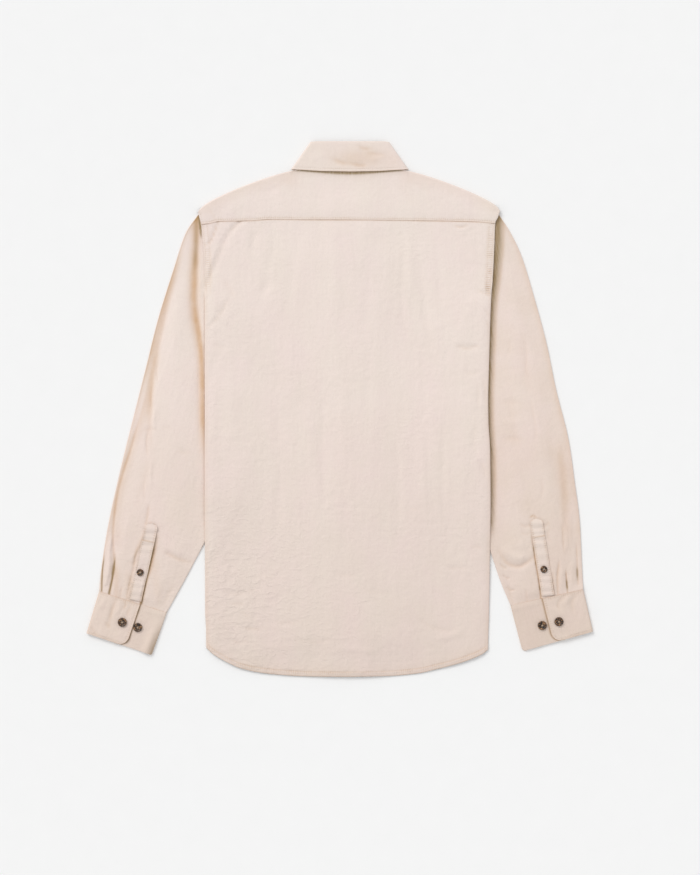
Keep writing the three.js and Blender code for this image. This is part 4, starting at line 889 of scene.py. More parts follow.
def sleeve_shade(side, x, y):
    """Painted shade beside the body's edge, along the left sleeve's outer edge and at the foot of each
    pleat.
    """
    beside = np.maximum(np.abs(x) - edge_at(x, y), 0)
    if side == "left":
        dark = 0.16 * bell(beside, 3) * smooth(-200, -140, y)
        dark = dark * (1 - 0.7 * smooth(60, 150, y))
        to_outer = outer_of[side](y) - np.abs(x)
        dark = dark + 0.4 * bell(to_outer, 2) * smooth(-40, 60, y)
    else:
        reach = shadow_reach(y)
        dark = lerp(0.8, 1.1, smooth(60, 230, y)) * np.exp(-((beside / reach) ** 3))
        dark = dark * smooth(-205, -160, y)
        dark = dark + 0.3 * bell(beside, 2.5) * smooth(-150, 60, y)
    return dark + relief(SLEEVE_SHADES[side], x, y)[1]


# ---------------------------------------------------------------- building cloth
root_pieces = []


def place(x, y, z):
    return Vector(((x + CENTRE_SHIFT) * MM, y * MM, z * MM))


def pack(x, y, z, across, along, warm_shade=0.0, shade=0.0, gather=0.0):
    """One grid of middle points with the cloth's own plan, painted warm shade, painted shade and puckers at
    each.

    Puckers above 0 follow one another along the plan's length, below 0 across its width.
    """
    parts = np.broadcast_arrays(x, y, z, across, along, warm_shade, shade, gather)
    return np.stack(parts, -1)


def cloth(name, grids, wall, material, soften=0.0):
    """A piece of cloth from grids of middle points; points that coincide are joined."""
    bm = bmesh.new()
    plan = bm.loops.layers.uv.new("plan")
    # Of these layers the third and fourth carry painted shade, the fifth carries puckers.
    layers = ("across", "along", "warm_shade", "shade", "gather")
    across, along, warm_shade, shade, gather = [bm.verts.layers.float.new(layer) for layer in layers]
    for grid in grids:
        rows, columns = grid.shape[:2]
        made = bmesh.ops.create_grid(bm, x_segments=columns - 1, y_segments=rows - 1, size=1)
        for vert in made["verts"]:
            i = round((vert.co.x + 1) / 2 * (columns - 1))
            j = round((vert.co.y + 1) / 2 * (rows - 1))
            x, y, z, u, v, w, dark, drawn = grid[j, i]
            vert.co = place(x, y, z)
            vert[across] = u * MM
            vert[along] = v * MM
            vert[warm_shade] = min(1.0, max(0.0, w))
            vert[shade] = min(1.0, max(0.0, dark))
            vert[gather] = drawn
    bmesh.ops.remove_doubles(bm, verts=bm.verts, dist=2e-6)
    bmesh.ops.dissolve_degenerate(bm, dist=2e-6, edges=bm.edges)
    bmesh.ops.recalc_face_normals(bm, faces=bm.faces)
    for face in bm.faces:
        face.smooth = True
        for loop in face.loops:
            loop[plan].uv = (loop.vert[across], loop.vert[along])
    piece = finish(name, bm, material)
    solid = piece.modifiers.new("wall", "SOLIDIFY")
    solid.thickness = wall * MM
    solid.offset = 0
    solid.use_even_offset = False
    if soften:
        bevel = piece.modifiers.new("edge", "BEVEL")
        bevel.width = soften * MM
        bevel.segments = 2
        bevel.limit_method = "ANGLE"
        bevel.angle_limit = math.radians(50)
    return piece


def mesh_of(name, bm):
    mesh = bpy.data.meshes.new(name)
    bm.to_mesh(mesh)
    bm.free()
    return mesh


def linked(name, data):
    made = bpy.data.objects.new(name, data)
    bpy.context.scene.collection.objects.link(made)
    return made


def finish(name, bm, material):
    """A piece of the shirt from a mesh still being built."""
    piece = linked(name, mesh_of(name, bm))
    piece.data.materials.append(material)
    root_pieces.append(piece)
    return piece


# ---------------------------------------------------------------- materials
class Nodes:
    """Short ways to add linked nodes to one material."""

    def __init__(self, name):
        self.material = bpy.data.materials.new(name)
        self.material.use_nodes = True
        self.tree = self.material.node_tree
        self.shader = self.tree.nodes["Principled BSDF"]

    def fill(self, node, inputs):
        for key, value in inputs.items():
            if isinstance(value, bpy.types.NodeSocket):
                self.tree.links.new(value, node.inputs[key])
            else:
                node.inputs[key].default_value = value

    def new(self, kind, inputs, output=0, **settings):
        """One output of a new node."""
        node = self.tree.nodes.new(kind)
        for key, value in settings.items():
            setattr(node, key, value)
        self.fill(node, inputs)
        return node.outputs[output]

    def here(self):
        return self.new("ShaderNodeTexCoord", {}, "Object")

    def attribute(self, name):
        return self.new("ShaderNodeAttribute", {}, "Fac", attribute_name=name)

    def mix(self, share, low, high, blend="MIX"):
        ends = {0: share, 6: low, 7: high}
        return self.new("ShaderNodeMix", ends, 2, data_type="RGBA", blend_type=blend)

    def tinted(self, base, tint):
        return self.mix(1.0, base, tint, "MULTIPLY")

    def maths(self, operation, first, second=0.0):
        return self.new("ShaderNodeMath", {0: first, 1: second}, operation=operation)

    def times(self, first, second):
        return self.maths("MULTIPLY", first, second)

    def plus(self, first, *rest):
        for more in rest:
            first = self.maths("ADD", first, more)
        return first

    def scaled(self, coordinates, scale):
        return self.new("ShaderNodeMapping", {"Vector": coordinates, "Scale": scale})

    def noise(self, coordinates, scale, detail=2.0, roughness=0.5):
        inputs = {"Vector": coordinates, "Scale": scale, "Detail": detail, "Roughness": roughness}
        return self.new("ShaderNodeTexNoise", inputs, "Fac")

    def wave(self, coordinates, scale, direction):
        inputs = {"Vector": coordinates, "Scale": scale, "Distortion": 1.2, "Detail": 1.0}
        return self.new("ShaderNodeTexWave", inputs, "Fac", bands_direction=direction)

    def ramp(self, share, low, high):
        inputs = {"Value": share, "From Min": low, "From Max": high}
        return self.new("ShaderNodeMapRange", inputs)

    def bump(self, height, strength, distance):
        inputs = {"Height": height, "Strength": strength, "Distance": distance}
        self.fill(self.shader, {"Normal": self.new("ShaderNodeBump", inputs)})


WHITE = (1, 1, 1, 1)
CREAM = (0.8653, 0.7533, 0.6907, 1)
CREAM_PINK = (0.868, 0.727, 0.688, 1)
CREAM_YELLOW = (0.826, 0.724, 0.645, 1)
# Colour of the painted warm shade in creases, seams, puckers and at folded edges.
WARM_SHADE = (0.60, 0.36, 0.18, 1)
SHADE = (0.27, 0.175, 0.06, 1)
YARN_TONE = (0.62, 0.53, 0.45, 1)
NAP_TONE = (1, 0.94, 0.88, 1)
PAINTED_LIGHT_TOP = (1.01, 1.021, 1.028, 1)  # painted light: paler and cooler towards the shoulders
PAINTED_SHADE_LOW = (0.92, 0.903, 0.888, 1)  # painted shade: darker and warmer towards the hem
WEAVE_WAVES = 420  # wave texture scale that gives yarns about 0.75 mm apart
PUCKER_WAVES = 95  # and puckers about 3.3 mm apart
LITTLE_CRINKLED = 0.22
HORN_DARK = (0.008, 0.005, 0.004, 1)
HORN_CLOUD = (0.13, 0.062, 0.028, 1)
HORN_FLECK = (0.36, 0.20, 0.095, 1)


def flannel(name, crinkled, tone=WHITE):
    """Brushed flannel: crinkled is the height of its finest creases in millimetres."""
    made = Nodes(name)
    here = made.here()
    plan = made.new("ShaderNodeUVMap", {}, "UV", uv_map="plan")
    axes = made.tree.nodes.new("ShaderNodeSeparateXYZ")
    made.fill(axes, {0: here})
    far_out = axes.outputs["X"]
    high = axes.outputs["Y"]

    # Colour: clouds of pink and yellow, yarns, nap, painted warm shade, painted shade and painted shade in
    # the puckers, then painted light towards the shoulders and painted shade towards the hem.
    mottle = made.ramp(made.noise(here, 17, 4, 0.55), 0.35, 0.65)
    cloud = made.ramp(made.noise(made.scaled(here, (1.6, 0.8, 1)), 7.5, 5, 0.65), 0.38, 0.62)
    slub = made.noise(made.scaled(plan, (420, 22, 1)), 1, 3, 0.6)
    weft = made.noise(made.scaled(plan, (20, 460, 1)), 1, 3, 0.6)
    yarn = made.ramp(made.plus(slub, weft), 0.55, 1.45)
    fuzz = made.noise(here, 900, 3, 0.65)
    drawn = made.attribute("gather")
    lengthwise = made.times(made.maths("MAXIMUM", drawn, 0.0), made.wave(plan, PUCKER_WAVES, "Y"))
    turned_round = made.maths("MAXIMUM", made.times(drawn, -1.0), 0.0)
    crosswise = made.times(turned_round, made.wave(plan, PUCKER_WAVES, "X"))
    uneven = made.ramp(made.noise(here, 60, 2, 0.5), 0.3, 0.6)
    pucker = made.times(made.plus(lengthwise, crosswise), uneven)
    layers = (
        (made.times(cloud, 0.8), CREAM_PINK),
        (made.times(mottle, 0.36), CREAM_YELLOW),
        (made.times(yarn, 0.12), YARN_TONE),
        (made.times(made.ramp(fuzz, 0.3, 0.8), 0.10), NAP_TONE),
        # Painted warm shade and painted shade from each piece's attributes, then painted shade in the
        # puckers.
        (made.times(made.attribute("warm_shade"), made.ramp(mottle, -1.6, 1.0)), WARM_SHADE),
        (made.times(made.attribute("shade"), made.ramp(slub, -0.6, 0.8)), SHADE),
        (made.times(pucker, 0.3), WARM_SHADE),
    )
    base = CREAM
    for share, colour in layers:
        base = made.mix(share, base, colour)
    base = made.tinted(base, tone)
    # Painted light towards the shoulders and painted shade towards the hem.
    base = made.tinted(base, made.mix(made.ramp(high, -0.05, 0.28), WHITE, PAINTED_LIGHT_TOP))
    base = made.tinted(base, made.mix(made.ramp(high, 0.02, -0.36), WHITE, PAINTED_SHADE_LOW))

    # Relief in millimetres: yarns, nap, soft unevenness, long weak folds, and crinkles in patches.
    warp = made.wave(plan, WEAVE_WAVES, "X")
    weft_rib = made.wave(plan, WEAVE_WAVES, "Y")
    weave = made.times(made.plus(warp, weft_rib), 0.06)
    nap = made.times(fuzz, 0.08)
    soft = made.times(made.noise(made.scaled(here, (1.25, 1, 1)), 130, 2, 0.55), 0.7)
    folds = made.times(made.noise(made.scaled(plan, (40, 7, 1)), 1, 3, 0.5), 1.8)
    strand = made.noise(made.scaled(here, (1, 1.7, 1)), 50, 2, 0.5)
    crack = made.ramp(made.maths("ABSOLUTE", made.maths("SUBTRACT", strand, 0.5)), 0.11, 0.0)
    patch = made.ramp(made.noise(here, 13, 2, 0.5), 0.45, 0.68)
    low_left = made.times(made.ramp(high, 0.0, -0.26), made.ramp(far_out, 0.12, -0.14))
    patch = made.maths("MAXIMUM", made.times(patch, 0.5), low_left)
    crinkle = made.times(made.times(crack, patch), crinkled)
    height = made.plus(made.plus(weave, nap), made.plus(soft, crinkle), folds)
    made.bump(made.maths("SUBTRACT", height, made.times(pucker, 0.4)), 1.0, MM)
    look = {
        "Base Color": base,
        "Roughness": 0.95,
        "Specular IOR Level": 0.12,
        "Sheen Weight": 0.18,
        "Sheen Roughness": 0.55,
        "Sheen Tint": (1, 0.95, 0.9, 1),
    }
    made.fill(made.shader, look)
    return made.material


def horn():
    made = Nodes("tortoise_horn")
    here = made.here()
    cloud = made.ramp(made.noise(made.scaled(here, (1, 1.7, 1)), 260, 3, 0.55), 0.46, 0.60)
    fleck = made.ramp(made.noise(here, 380, 2, 0.5), 0.54, 0.62)
    base = made.mix(made.times(fleck, 0.85), made.mix(cloud, HORN_DARK, HORN_CLOUD), HORN_FLECK)
    grain = made.noise(here, 1500, 2, 0.5)
    made.fill(made.shader, {"Base Color": base, "Roughness": made.ramp(grain, -0.9, 2.4)})
    made.bump(grain, 0.15, 0.05 * MM)
    return made.material


def thread(name, low, high):
    made = Nodes(name)
    strand = made.noise(made.here(), 2600, 3, 0.6)
    base = made.mix(made.ramp(strand, 0.3, 0.7), low, high)
    made.fill(made.shader, {"Base Color": base, "Roughness": 0.7, "Sheen Weight": 0.2})
    return made.material


flannel_cloth = flannel("brushed_flannel", 0.5)
flannel_sleeve = flannel("brushed_flannel_sleeve", LITTLE_CRINKLED)
flannel_left = flannel("brushed_flannel_left_sleeve", LITTLE_CRINKLED, (1.014, 1.01, 1.01, 1))
flannel_cuff = flannel("brushed_flannel_two_layers", 0.1, (0.99, 0.972, 0.945, 1))
horn_finish = horn()
seam_thread = thread("seam_thread", (0.60, 0.49, 0.40, 1), (0.80, 0.69, 0.60, 1))
button_thread = thread("button_thread", (0.50, 0.37, 0.25, 1), (0.74, 0.60, 0.46, 1))


# ---------------------------------------------------------------- body panels
def spread(*parts):
    """Shares from (from, to, steps) runs joined end to end."""
    runs = [np.linspace(start, end, steps, endpoint=False) for start, end, steps in parts]
    return np.concatenate([*runs, [parts[-1][1]]])


def row_y(height, top, hem):
    """Height of a row at one place: the rows near the top and the hem follow those edges."""
    upper = lerp(HIGH_ROW, top, (height - HIGH_ROW) / (TOP_ROW - HIGH_ROW))
    lower = lerp(LOW_ROW, hem, (LOW_ROW - height) / (LOW_ROW - HEM_LOW))
    return np.where(height > HIGH_ROW, upper, np.where(height < LOW_ROW, lower, height))


def flap_blocks(sign, straight, height, top_z, radius, angle, y_of, under, folds, strips, warm_shade):
    """The side fold and the strip that runs back under the body."""
    turn = angle * np.linspace(0, 1, folds + 1)[1:]
    beyond = radius * turn
    fold_x = sign * (straight + radius * np.sin(turn))
    fold_y = y_of(sign * straight, beyond)
    width = (FLAP - radius) * (1 - smooth(*FLAP_END, height))
    along = width * np.linspace(0, 1, strips + 1)[1:]
    flat_x = np.where(width > 0, sign * (straight - along), fold_x[:, -1:])
    flat_y = y_of(sign * straight, radius * math.pi + along)
    pressed = settle(sign * straight, np.broadcast_to(flat_y[:, :1], np.shape(straight)))
    lying = FLOOR + (sleeve_lift(flat_x, height) + under) * pressed
    turned = smooth(150, 120, height)
    half_high = lerp(radius, (top_z - lying[:, :1]) / 2, turned)
    fold_z = top_z - half_high * (1 - np.cos(turn))
    flat_z = np.where(width > 0, lying, fold_z[:, -1:])
    flat_plan = sign * (straight + radius * angle + along)
    fold = pack(fold_x, fold_y, fold_z, sign * (straight + beyond), fold_y, warm_shade)
    return [fold, pack(flat_x, flat_y, flat_z, flat_plan, flat_y, warm_shade)]


def back_panel():
    height = spread(
        (TOP_ROW, 290.5, 3),
        (290.5, 286, 6),
        (286, HIGH_ROW, 14),
        (HIGH_ROW, LOW_ROW, 158),
        (LOW_ROW, -391, 22),
        (-391, HEM_LOW, 14),
    )[:, None]

    def y_of(x, beyond):
        top = yoke_seam(x) + YOKE_LAP
        return row_y(height, top, hem_at(x) + HEM_SLANT * beyond)

    halves = []
    for sign in (-1, 1):
        angle = roll_angle(height)
        bulge = np.sin(np.minimum(angle, math.pi / 2))
        side_y = np.minimum(height, y_of(sign * edge_at(sign, height), 0) - 1)
        straight = edge_at(sign, side_y) - (BACK_ROLL + CLOTH / 2) * bulge
        x = sign * spread((0, 0.955, 58), (0.955, 1, 6)) * straight
        y = y_of(x, 0)
        z, warm_shade = back_top(x, y)
        # The side fold and the last few millimetres before it carry painted warm shade.
        turned = flap_blocks(sign, straight, height, z[:, -1:], BACK_ROLL, angle, y_of, 0, 8, 7, 0.12)
        rim = 0.10 * bell(straight - np.abs(x), 2.5)
        flat = pack(x, y, z, x, y, warm_shade + rim, 0, back_gather(x, y))
        halves.append(np.concatenate([flat, *turned], axis=1))
    left, right = halves
    grid = np.concatenate([left[:, :0:-1], right], axis=1)
    return cloth("back_cloth", [grid], SHOWN, flannel_cloth)


def front_panel(side):
    sign = SLEEVES[side]["sign"]
    level = front_level if side == "left" else front_right_level
    runs = ((TOP_ROW, HIGH_ROW, 10), (HIGH_ROW, LOW_ROW, 70), (LOW_ROW, -394, 12), (-394, HEM_LOW, 4))
    height = spread(*runs)[:, None]

    def y_of(x, beyond):
        short = FRONT_HEM_SHORT * (1 - smooth(0, 8, beyond))
        return row_y(height, front_top(x), hem_at(x) + short + HEM_SLANT * beyond)

    turned = 1 - smooth(EDGE_ROLL[0], EDGE_TURNS, height)
    side_y = np.minimum(height, y_of(sign * edge_at(sign, height), 0))
    edge = edge_at(sign, side_y)
    straight = lerp(edge - TUCK - GAP, edge - BACK_ROLL - CLOTH / 2, turned)
    x = sign * lerp(-FRONT_OVERLAP, straight, spread((0, 1, 56)))
    y = y_of(x, 0)
    z = FLOOR + (level(x, y) - FLOOR) * settle(x, y) - edge_drop(x, y, 0.8) * turned
    angle = math.pi * turned
    under = flap_blocks(sign, straight, height, z[:, -1:], FRONT_ROLL, angle, y_of, PITCH, 6, 5, 0.08)
    grid = np.concatenate([pack(x, y, z, x, y, 0.08), *under], axis=1)
    return cloth(f"front_{side}_cloth", [grid], SHOWN, flannel_cloth)


def yoke_panel():
    neck = spread((0, 1, 20)) * NECK_HALF
    out = spread((0, 0.94, 40), (0.94, 1, 5))[1:]

    def fold_start(x):
        radius = (NECK_LEVEL - under_yoke_level(x)) / 2
        return shoulder_y(np.abs(x)) - radius - CLOTH / 2

    def side_x(sign, cut, height=YOKE_SIDE):
        return sign * lerp(NECK_HALF, edge_at(sign, height) - cut, np.concatenate([[0], out]))

    xs = np.concatenate([side_x(-1, 0)[::-1], -neck[-2:0:-1], neck[:-1], side_x(1, 0)])[None, :]
    top = np.where(np.abs(xs) < NECK_HALF, back_neck(xs), fold_start(xs))
    share = spread((0, 0.05, 6), (0.05, 0.16, 6), (0.16, 0.84, 26), (0.84, 1, 16))[:, None]
    seam = yoke_seam(xs)
    y = lerp(seam, top, share)
    full = edge_at(xs, YOKE_SIDE)
    narrow = edge_at(xs, np.minimum(y, YOKE_SIDE)) - full
    beyond = np.clip((np.abs(xs) - NECK_HALF) / (full - NECK_HALF), 0, 1)
    x = xs + np.sign(xs) * narrow * beyond**3
    z, warm_shade = yoke_top(x, y)
    drawn = -0.6 * bell(y - seam - 2.6, 2.4)
    grids = [pack(x, y, z, x, y, warm_shade, leaf_shade(x, y), drawn)]
    steps = 10
    for sign in (-1, 1):
        rows = []
        base = side_x(sign, 0)
        start_z = yoke_top(base[None, :], fold_start(base)[None, :])[0][0]
        for i in range(steps + 1):
            turn = math.pi * i / steps
            x = side_x(sign, (TUCK + GAP) * i / steps)
            start = fold_start(x)
            radius = (start_z - under_yoke_level(x)) / 2
            y = start + radius * math.sin(turn)
            z = start_z - radius * (1 - math.cos(turn))
            rows.append(pack(x, y, z, x, start + radius * turn, 0.05))
        for share, height in ((0.33, 284), (0.67, 272), (1, 262)):
            x = side_x(sign, TUCK + GAP, height)
            start = fold_start(x)
            y = lerp(start, shoulder_y(np.abs(x)) - YOKE_FRONT, share)
            rows.append(pack(x, y, under_yoke_level(x), x, 2 * start - y, 0.05))
        grids.append(np.stack(rows))
    return cloth("yoke_cloth", grids, SHOWN, flannel_sleeve)


def front_band():
    runs = ((TOP_ROW, HIGH_ROW, 8), (HIGH_ROW, LOW_ROW, 60), (LOW_ROW, -394, 10), (-394, HEM_LOW, 3))
    height = spread(*runs)[:, None]
    x = spread((-0.5, 0.5, 10))[None, :] * PLACKET_WIDTH
    y = row_y(height, front_top(x), hem_at(x) + FRONT_HEM_SHORT)
    x = np.broadcast_to(x, y.shape)
    z = FLOOR + (front_level(x, y) - PITCH - FLOOR) * settle(x, y)
    return cloth("front_band_cloth", [pack(x, y, z, x, y, 0.05)], BAND_SHOWN, flannel_cloth, 0.25)


# ---------------------------------------------------------------- collar
def collar_stations():
    """The right half of the collar, from centre back round to the front point, in fine steps."""
    rows = []
    for fold, edge, seam in COLLAR_BACK:
        rows.append((*fold, *edge, seam, back_neck(seam) + GAP, 0, 0))
    fold, edge, seam = COLLAR_SIDE
    leaf_face = LEAF_OUT + LEAF_SHOWN / 2
    for i in range(5):
        rows.append((*fold, *edge, seam, shoulder_y(NECK_HALF) + 1, math.pi * i / 4, leaf_face))
    for fold, edge, seam in COLLAR_FRONT:
        rows.append((*fold, *edge, seam, front_top(seam) + NECK_CLEAR, math.pi, 0))
    rows = np.array(rows, float)
    at = spread((0, 2, 34), (2, 3, 7), (3, 7, 20), (7, 8, 6), (8, 12, 36))
    return np.stack([np.interp(at, np.arange(len(rows)), column) for column in rows.T], -1)


def collar_frame():
    """At each station: bottom of the roll, free edge, seam, ways up and out, and turn of the leaf."""
    stations = collar_stations()
    fold, edge, seam = (stations[:, k : k + 2] for k in (0, 2, 4))
    angle, inset = (stations[:, k : k + 1] for k in (6, 7))
    up = fold - edge
    up = up / np.linalg.norm(up, axis=1, keepdims=True)
    out = np.stack([np.ones(len(up)), np.zeros(len(up))], -1) / up[:, 1:2]
    base = fold - up * (COLLAR_ROLL + LEAF_SHOWN / 2) - out * inset
    return base, edge - out * inset, seam, up, out, angle


def collar_half(sign, plan, distance, out, angle, along, warm_shade=0.0):
    """One row of each station of one half; plan is stations by rows by 2."""
    away = distance * np.sin(angle)
    x = plan[..., 0] + out[:, None, 0] * away
    y = plan[..., 1] + out[:, None, 1] * away
    z = COLLAR_MIDDLE + distance * np.cos(angle)
    return pack(sign * x, y, z, sign * (x + LEAF_OUT * angle), y + along, warm_shade)


def collar_leaf():
    base, edge, _, up, out, angle = collar_frame()
    turn = math.pi * (1 - np.linspace(0, 1, 9))[None, :]
    rolled = base[:, None, :] + up[:, None, :] * (COLLAR_ROLL * np.sin(turn))[..., None]
    middle = (LEAF_OUT + STAND_OUT) / 2
    roll_out = np.broadcast_to(middle + COLLAR_ROLL * np.cos(turn), rolled.shape[:2])
    share = spread((0, 0.86, 20), (0.86, 0.97, 6), (0.97, 1, 3))[1:][None, :, None]
    flat = lerp(base[:, None, :], edge[:, None, :], share)
    plan = np.concatenate([rolled, flat], axis=1)
    length = np.linalg.norm(base - edge, axis=1)[:, None]
    to_edge = length * (1 - share[..., 0])
    groove = -0.28 * bell(to_edge - 4.2, 0.8)
    y = flat[..., 1]
    seen = np.cos(angle) > 0.9
    # Painted shade along the leaf's free edge.
    rim = 0.35 * bell(to_edge, 1.0)
    along = np.concatenate([np.broadcast_to(COLLAR_ROLL * turn, roll_out.shape), 0 * y], axis=1)

    def half(sign):
        x = sign * flat[..., 0]
        dent, crease_shade = relief(LEAF_CREASES, x, y)
        wave = 0.18 * np.sin(x / 13) * smooth(0, 12, to_edge) * smooth(0, 6, length - to_edge)
        distance = LEAF_OUT + (groove + 0.25 + 1.3 * dent + wave) * seen
        distance = np.concatenate([roll_out, distance], axis=1)
        # Painted shade in the leaf's dents and towards its right end, over an even warm tint.
        painted_leaf_shade = 0.28 * bell(x - 20, 36) * bell(y - 376, 13) + 1.35 * crease_shade
        painted_leaf_shade = painted_leaf_shade + 0.1 * bell(x - 66, 14) * bell(y - 372, 16)
        warm_shade = np.concatenate([np.full(roll_out.shape, 0.05), 0.04 + painted_leaf_shade * seen + rim], axis=1)
        return collar_half(sign, plan, distance, out, angle, along, warm_shade)

    grid = np.concatenate([half(-1)[:0:-1], half(1)])
    return cloth("collar_leaf_cloth", [grid], LEAF_SHOWN, flannel_sleeve, 0.35)


def collar_stand():
    base, _, seam, up, out, angle = collar_frame()
    top = base - up * STAND_DROP
    share = spread((0, 1, 10))[None, :, None]
    plan = lerp(top[:, None, :], seam[:, None, :], share)
    distance = np.full(plan.shape[:2], STAND_OUT)
    halves = [collar_half(sign, plan, distance, out, angle, 0 * distance) for sign in (-1, 1)]
    grid = np.concatenate([halves[0][:0:-1], halves[1]])

    # The ends cross at the centre, the wearer's left one below, over the collar button.
    low = BUTTONS["collar"]["thick"] + GAP + LEAF_SHOWN / 2

    def tail(sign, level, shown):
        x = lerp(-STAND_END[0], STAND_END[0], np.linspace(0, 1, 7))[:, None] + 0 * share[..., 0]
        y = lerp(STAND_END[1], front_top(x) + NECK_CLEAR, share[..., 0])
        return pack(sign * x, y, level, sign * (shown + 12 - x), y, 0)

    run = abs(grid[-1, 0, 3])
    grid = np.concatenate([tail(-1, low, run)[::-1], grid, tail(1, low + PITCH, run)], axis=0)
    return cloth("collar_stand_cloth", [grid], STAND_SHOWN, flannel_cloth, 0.3)


# ---------------------------------------------------------------- sleeves
def sleeve_panel(side):
    sign = SLEEVES[side]["sign"]
    outer = Line(SLEEVES[side]["outer"])
    inner = Line([UNDERARM, *SLEEVES[side]["inner"]])
    radius = PITCH / 2
    inset = radius + CLOTH / 2
    share = spread((0, 0.94, 190), (0.94, 1, 24))
    from_outer = outer.point(share) - outer.normal(share) * inset
    from_inner = inner.point(share) + inner.normal(share) * inset

    def under_edge(y):
        return (float(edge_at(sign, y)) - TUCK, y)

    under_edges = [under_edge(y) for y in (278, 225, EDGE_TURNS)]
    below = (float(sleeve_limit(sign, 115)), 115)
    armhole = Line([from_outer[0], *under_edges, below, from_inner[0]])
    bend = (1 - smooth(0, HEAD_FADE, share))[:, None, None]

    def across(columns):
        straight = lerp(from_outer[0], from_inner[0], columns[:, None])
        head = (armhole.point(columns) - straight)[None]
        return lerp(from_outer[:, None], from_inner[:, None], columns[None, :, None]) + head * bend

    plan = across(spread((0, 1, 98)))
    x = sign * plan[..., 0]
    y = plan[..., 1]
    z, warm_shade = sleeve_top(side, x, y)
    y = y - 1.3 * smooth(0.97, 1, share)[:, None]
    down = np.array(SLEEVES[side]["outer"][-1], float) - SLEEVES[side]["outer"][0]
    down = down / np.linalg.norm(down)

    def laid(x, y, z, warm_shading=0.05, dark=0):
        """The points with their place across and along the sleeve's own length."""
        out = np.abs(x)
        across = -out * down[1] + y * down[0]
        return pack(x, y, z, sign * across, -(out * down[0] + y * down[1]), warm_shading, dark)

    upper = laid(x, y, z, warm_shade, sleeve_shade(side, x, y))

    plan = across(spread((0, 0.16, 10), (0.16, 1, 13))[::-1])
    lower = laid(sign * plan[..., 0], plan[..., 1], FLOOR)

    def fold(centre, away, edge_z, way):
        turn = np.linspace(0, math.pi, 7)[None, 1:-1]
        half = (edge_z - FLOOR) / 2
        x, y = (centre[:, None, k] + away[:, None, k] * radius * np.sin(turn) for k in (0, 1))
        # Painted warm shade round the fold.
        return laid(sign * x, y, FLOOR + half * (1 + way * np.cos(turn)), 0.12)

    inner_fold = fold(from_inner, -inner.normal(share), z[:, -1:], 1)
    outer_fold = fold(from_outer, outer.normal(share), z[:, :1], -1)
    grid = np.concatenate([upper, inner_fold, lower, outer_fold, upper[:, :1]], axis=1)
    look = flannel_left if side == "left" else flannel_sleeve
    return cloth(f"sleeve_{side}_cloth", [grid], SHOWN, look)


def placket_frame(side):
    """Foot of a sleeve's placket, the ways along and across it, and its length."""
    foot, tip = np.array(SLEEVES[side]["placket"], float)
    length = np.linalg.norm(tip - foot)
    way = (tip - foot) / length
    return foot, way, np.array([way[1], -way[0]]), length


def placket_top(side, x, y):
    z, warm_shade = sleeve_top(side, x, y)
    return z + 1.05, warm_shade


def placket_waves(side, along, share):
    """Puckers across a sleeve placket, closest at its two ends and none under its button."""
    foot, way = placket_frame(side)[:2]
    to_button = along - (np.array(SLEEVES[side]["placket_button"]) - foot) @ way
    waves = 0.34 * np.sin(along / 2.9 + 1.3 * np.sin(along / 13)) * (1 - 0.6 * np.abs(share))
    waves = waves + 0.3 * (1 + np.sin(along / 8.5 + share))
    ends = smooth(70, 84, along) + 1 - smooth(24, 40, along)
    waves = waves + 0.6 * ends * (1 + np.sin(along / 1.7 + 0.8 * share + np.sin(along / 5)))
    return waves * (1 - np.exp(-((to_button / 9) ** 4)))


def sleeve_placket(side):
    sign = SLEEVES[side]["sign"]
    foot, way, across, length = placket_frame(side)
    half = SLEEVE_PLACKET / 2
    rounded = 0.8 * half
    along = spread((0, length - rounded, 60), (length - rounded, length - 0.02, 14))[:, None]
    tip = np.clip((along - length + rounded) / rounded, 0, 1)
    width = half * np.sqrt(np.maximum(1 - tip * tip, 0.0004))
    share = spread((-1, -0.9, 3), (-0.9, 0.9, 18), (0.9, 1, 3))[None, :]
    x, y = (foot[k] + way[k] * along + across[k] * share * width for k in (0, 1))
    z, warm_shade = placket_top(side, sign * x, y)
    to_side = width - np.abs(share * width)
    groove = -0.22 * bell(to_side - PLACKET_ROW, 0.7)
    at_box = bell(length - along - PLACKET_BOX * length, 0.7)
    # Painted shade along the placket's edges and in its box of stitches.
    rim = 0.22 * bell(to_side, 0.9)
    drawn = 0.9 * bell(to_side - 2, 1.8)
    z = z + groove - 0.5 * at_box + placket_waves(side, along, share * width / half)
    warm_shade = 0.3 * warm_shade + rim + 0.7 * at_box
    grid = pack(sign * x, y, z, share * width, along, warm_shade, 0, drawn)
    return cloth(f"sleeve_placket_{side}_cloth", [grid], SHOWN, flannel_sleeve, 0.2)


# ---------------------------------------------------------------- cuffs
def cuff_point(side, across, down):
    """Plan point on a cuff from shares of its width and depth."""
    top = np.array(SLEEVES[side]["cuff_top"], float)
    end = np.array(SLEEVES[side]["cuff_end"], float)
    across = np.asarray(across, float)[..., None]
    down = np.asarray(down, float)[..., None]
    return lerp(lerp(top[0], end[0], down), lerp(top[1], end[1], down), across)


def cuff_top(side, x, y):
    """Small waves of a cuff's upper layer, and the painted warm shade in their creases."""
    crease, warm_shade = relief(CUFF_CREASES[side], x, y)
    slow = 0.5 * np.sin(x / 11 + 1) * np.cos(y / 14)
    return 1.8 * crease + slow + 0.2 * np.sin((x + y) / 5), warm_shade


def cuff_wave(x, y):
    return 0.6 * np.sin(x / 5.5 + y / 9) * np.cos(y / 12 + 0.6)


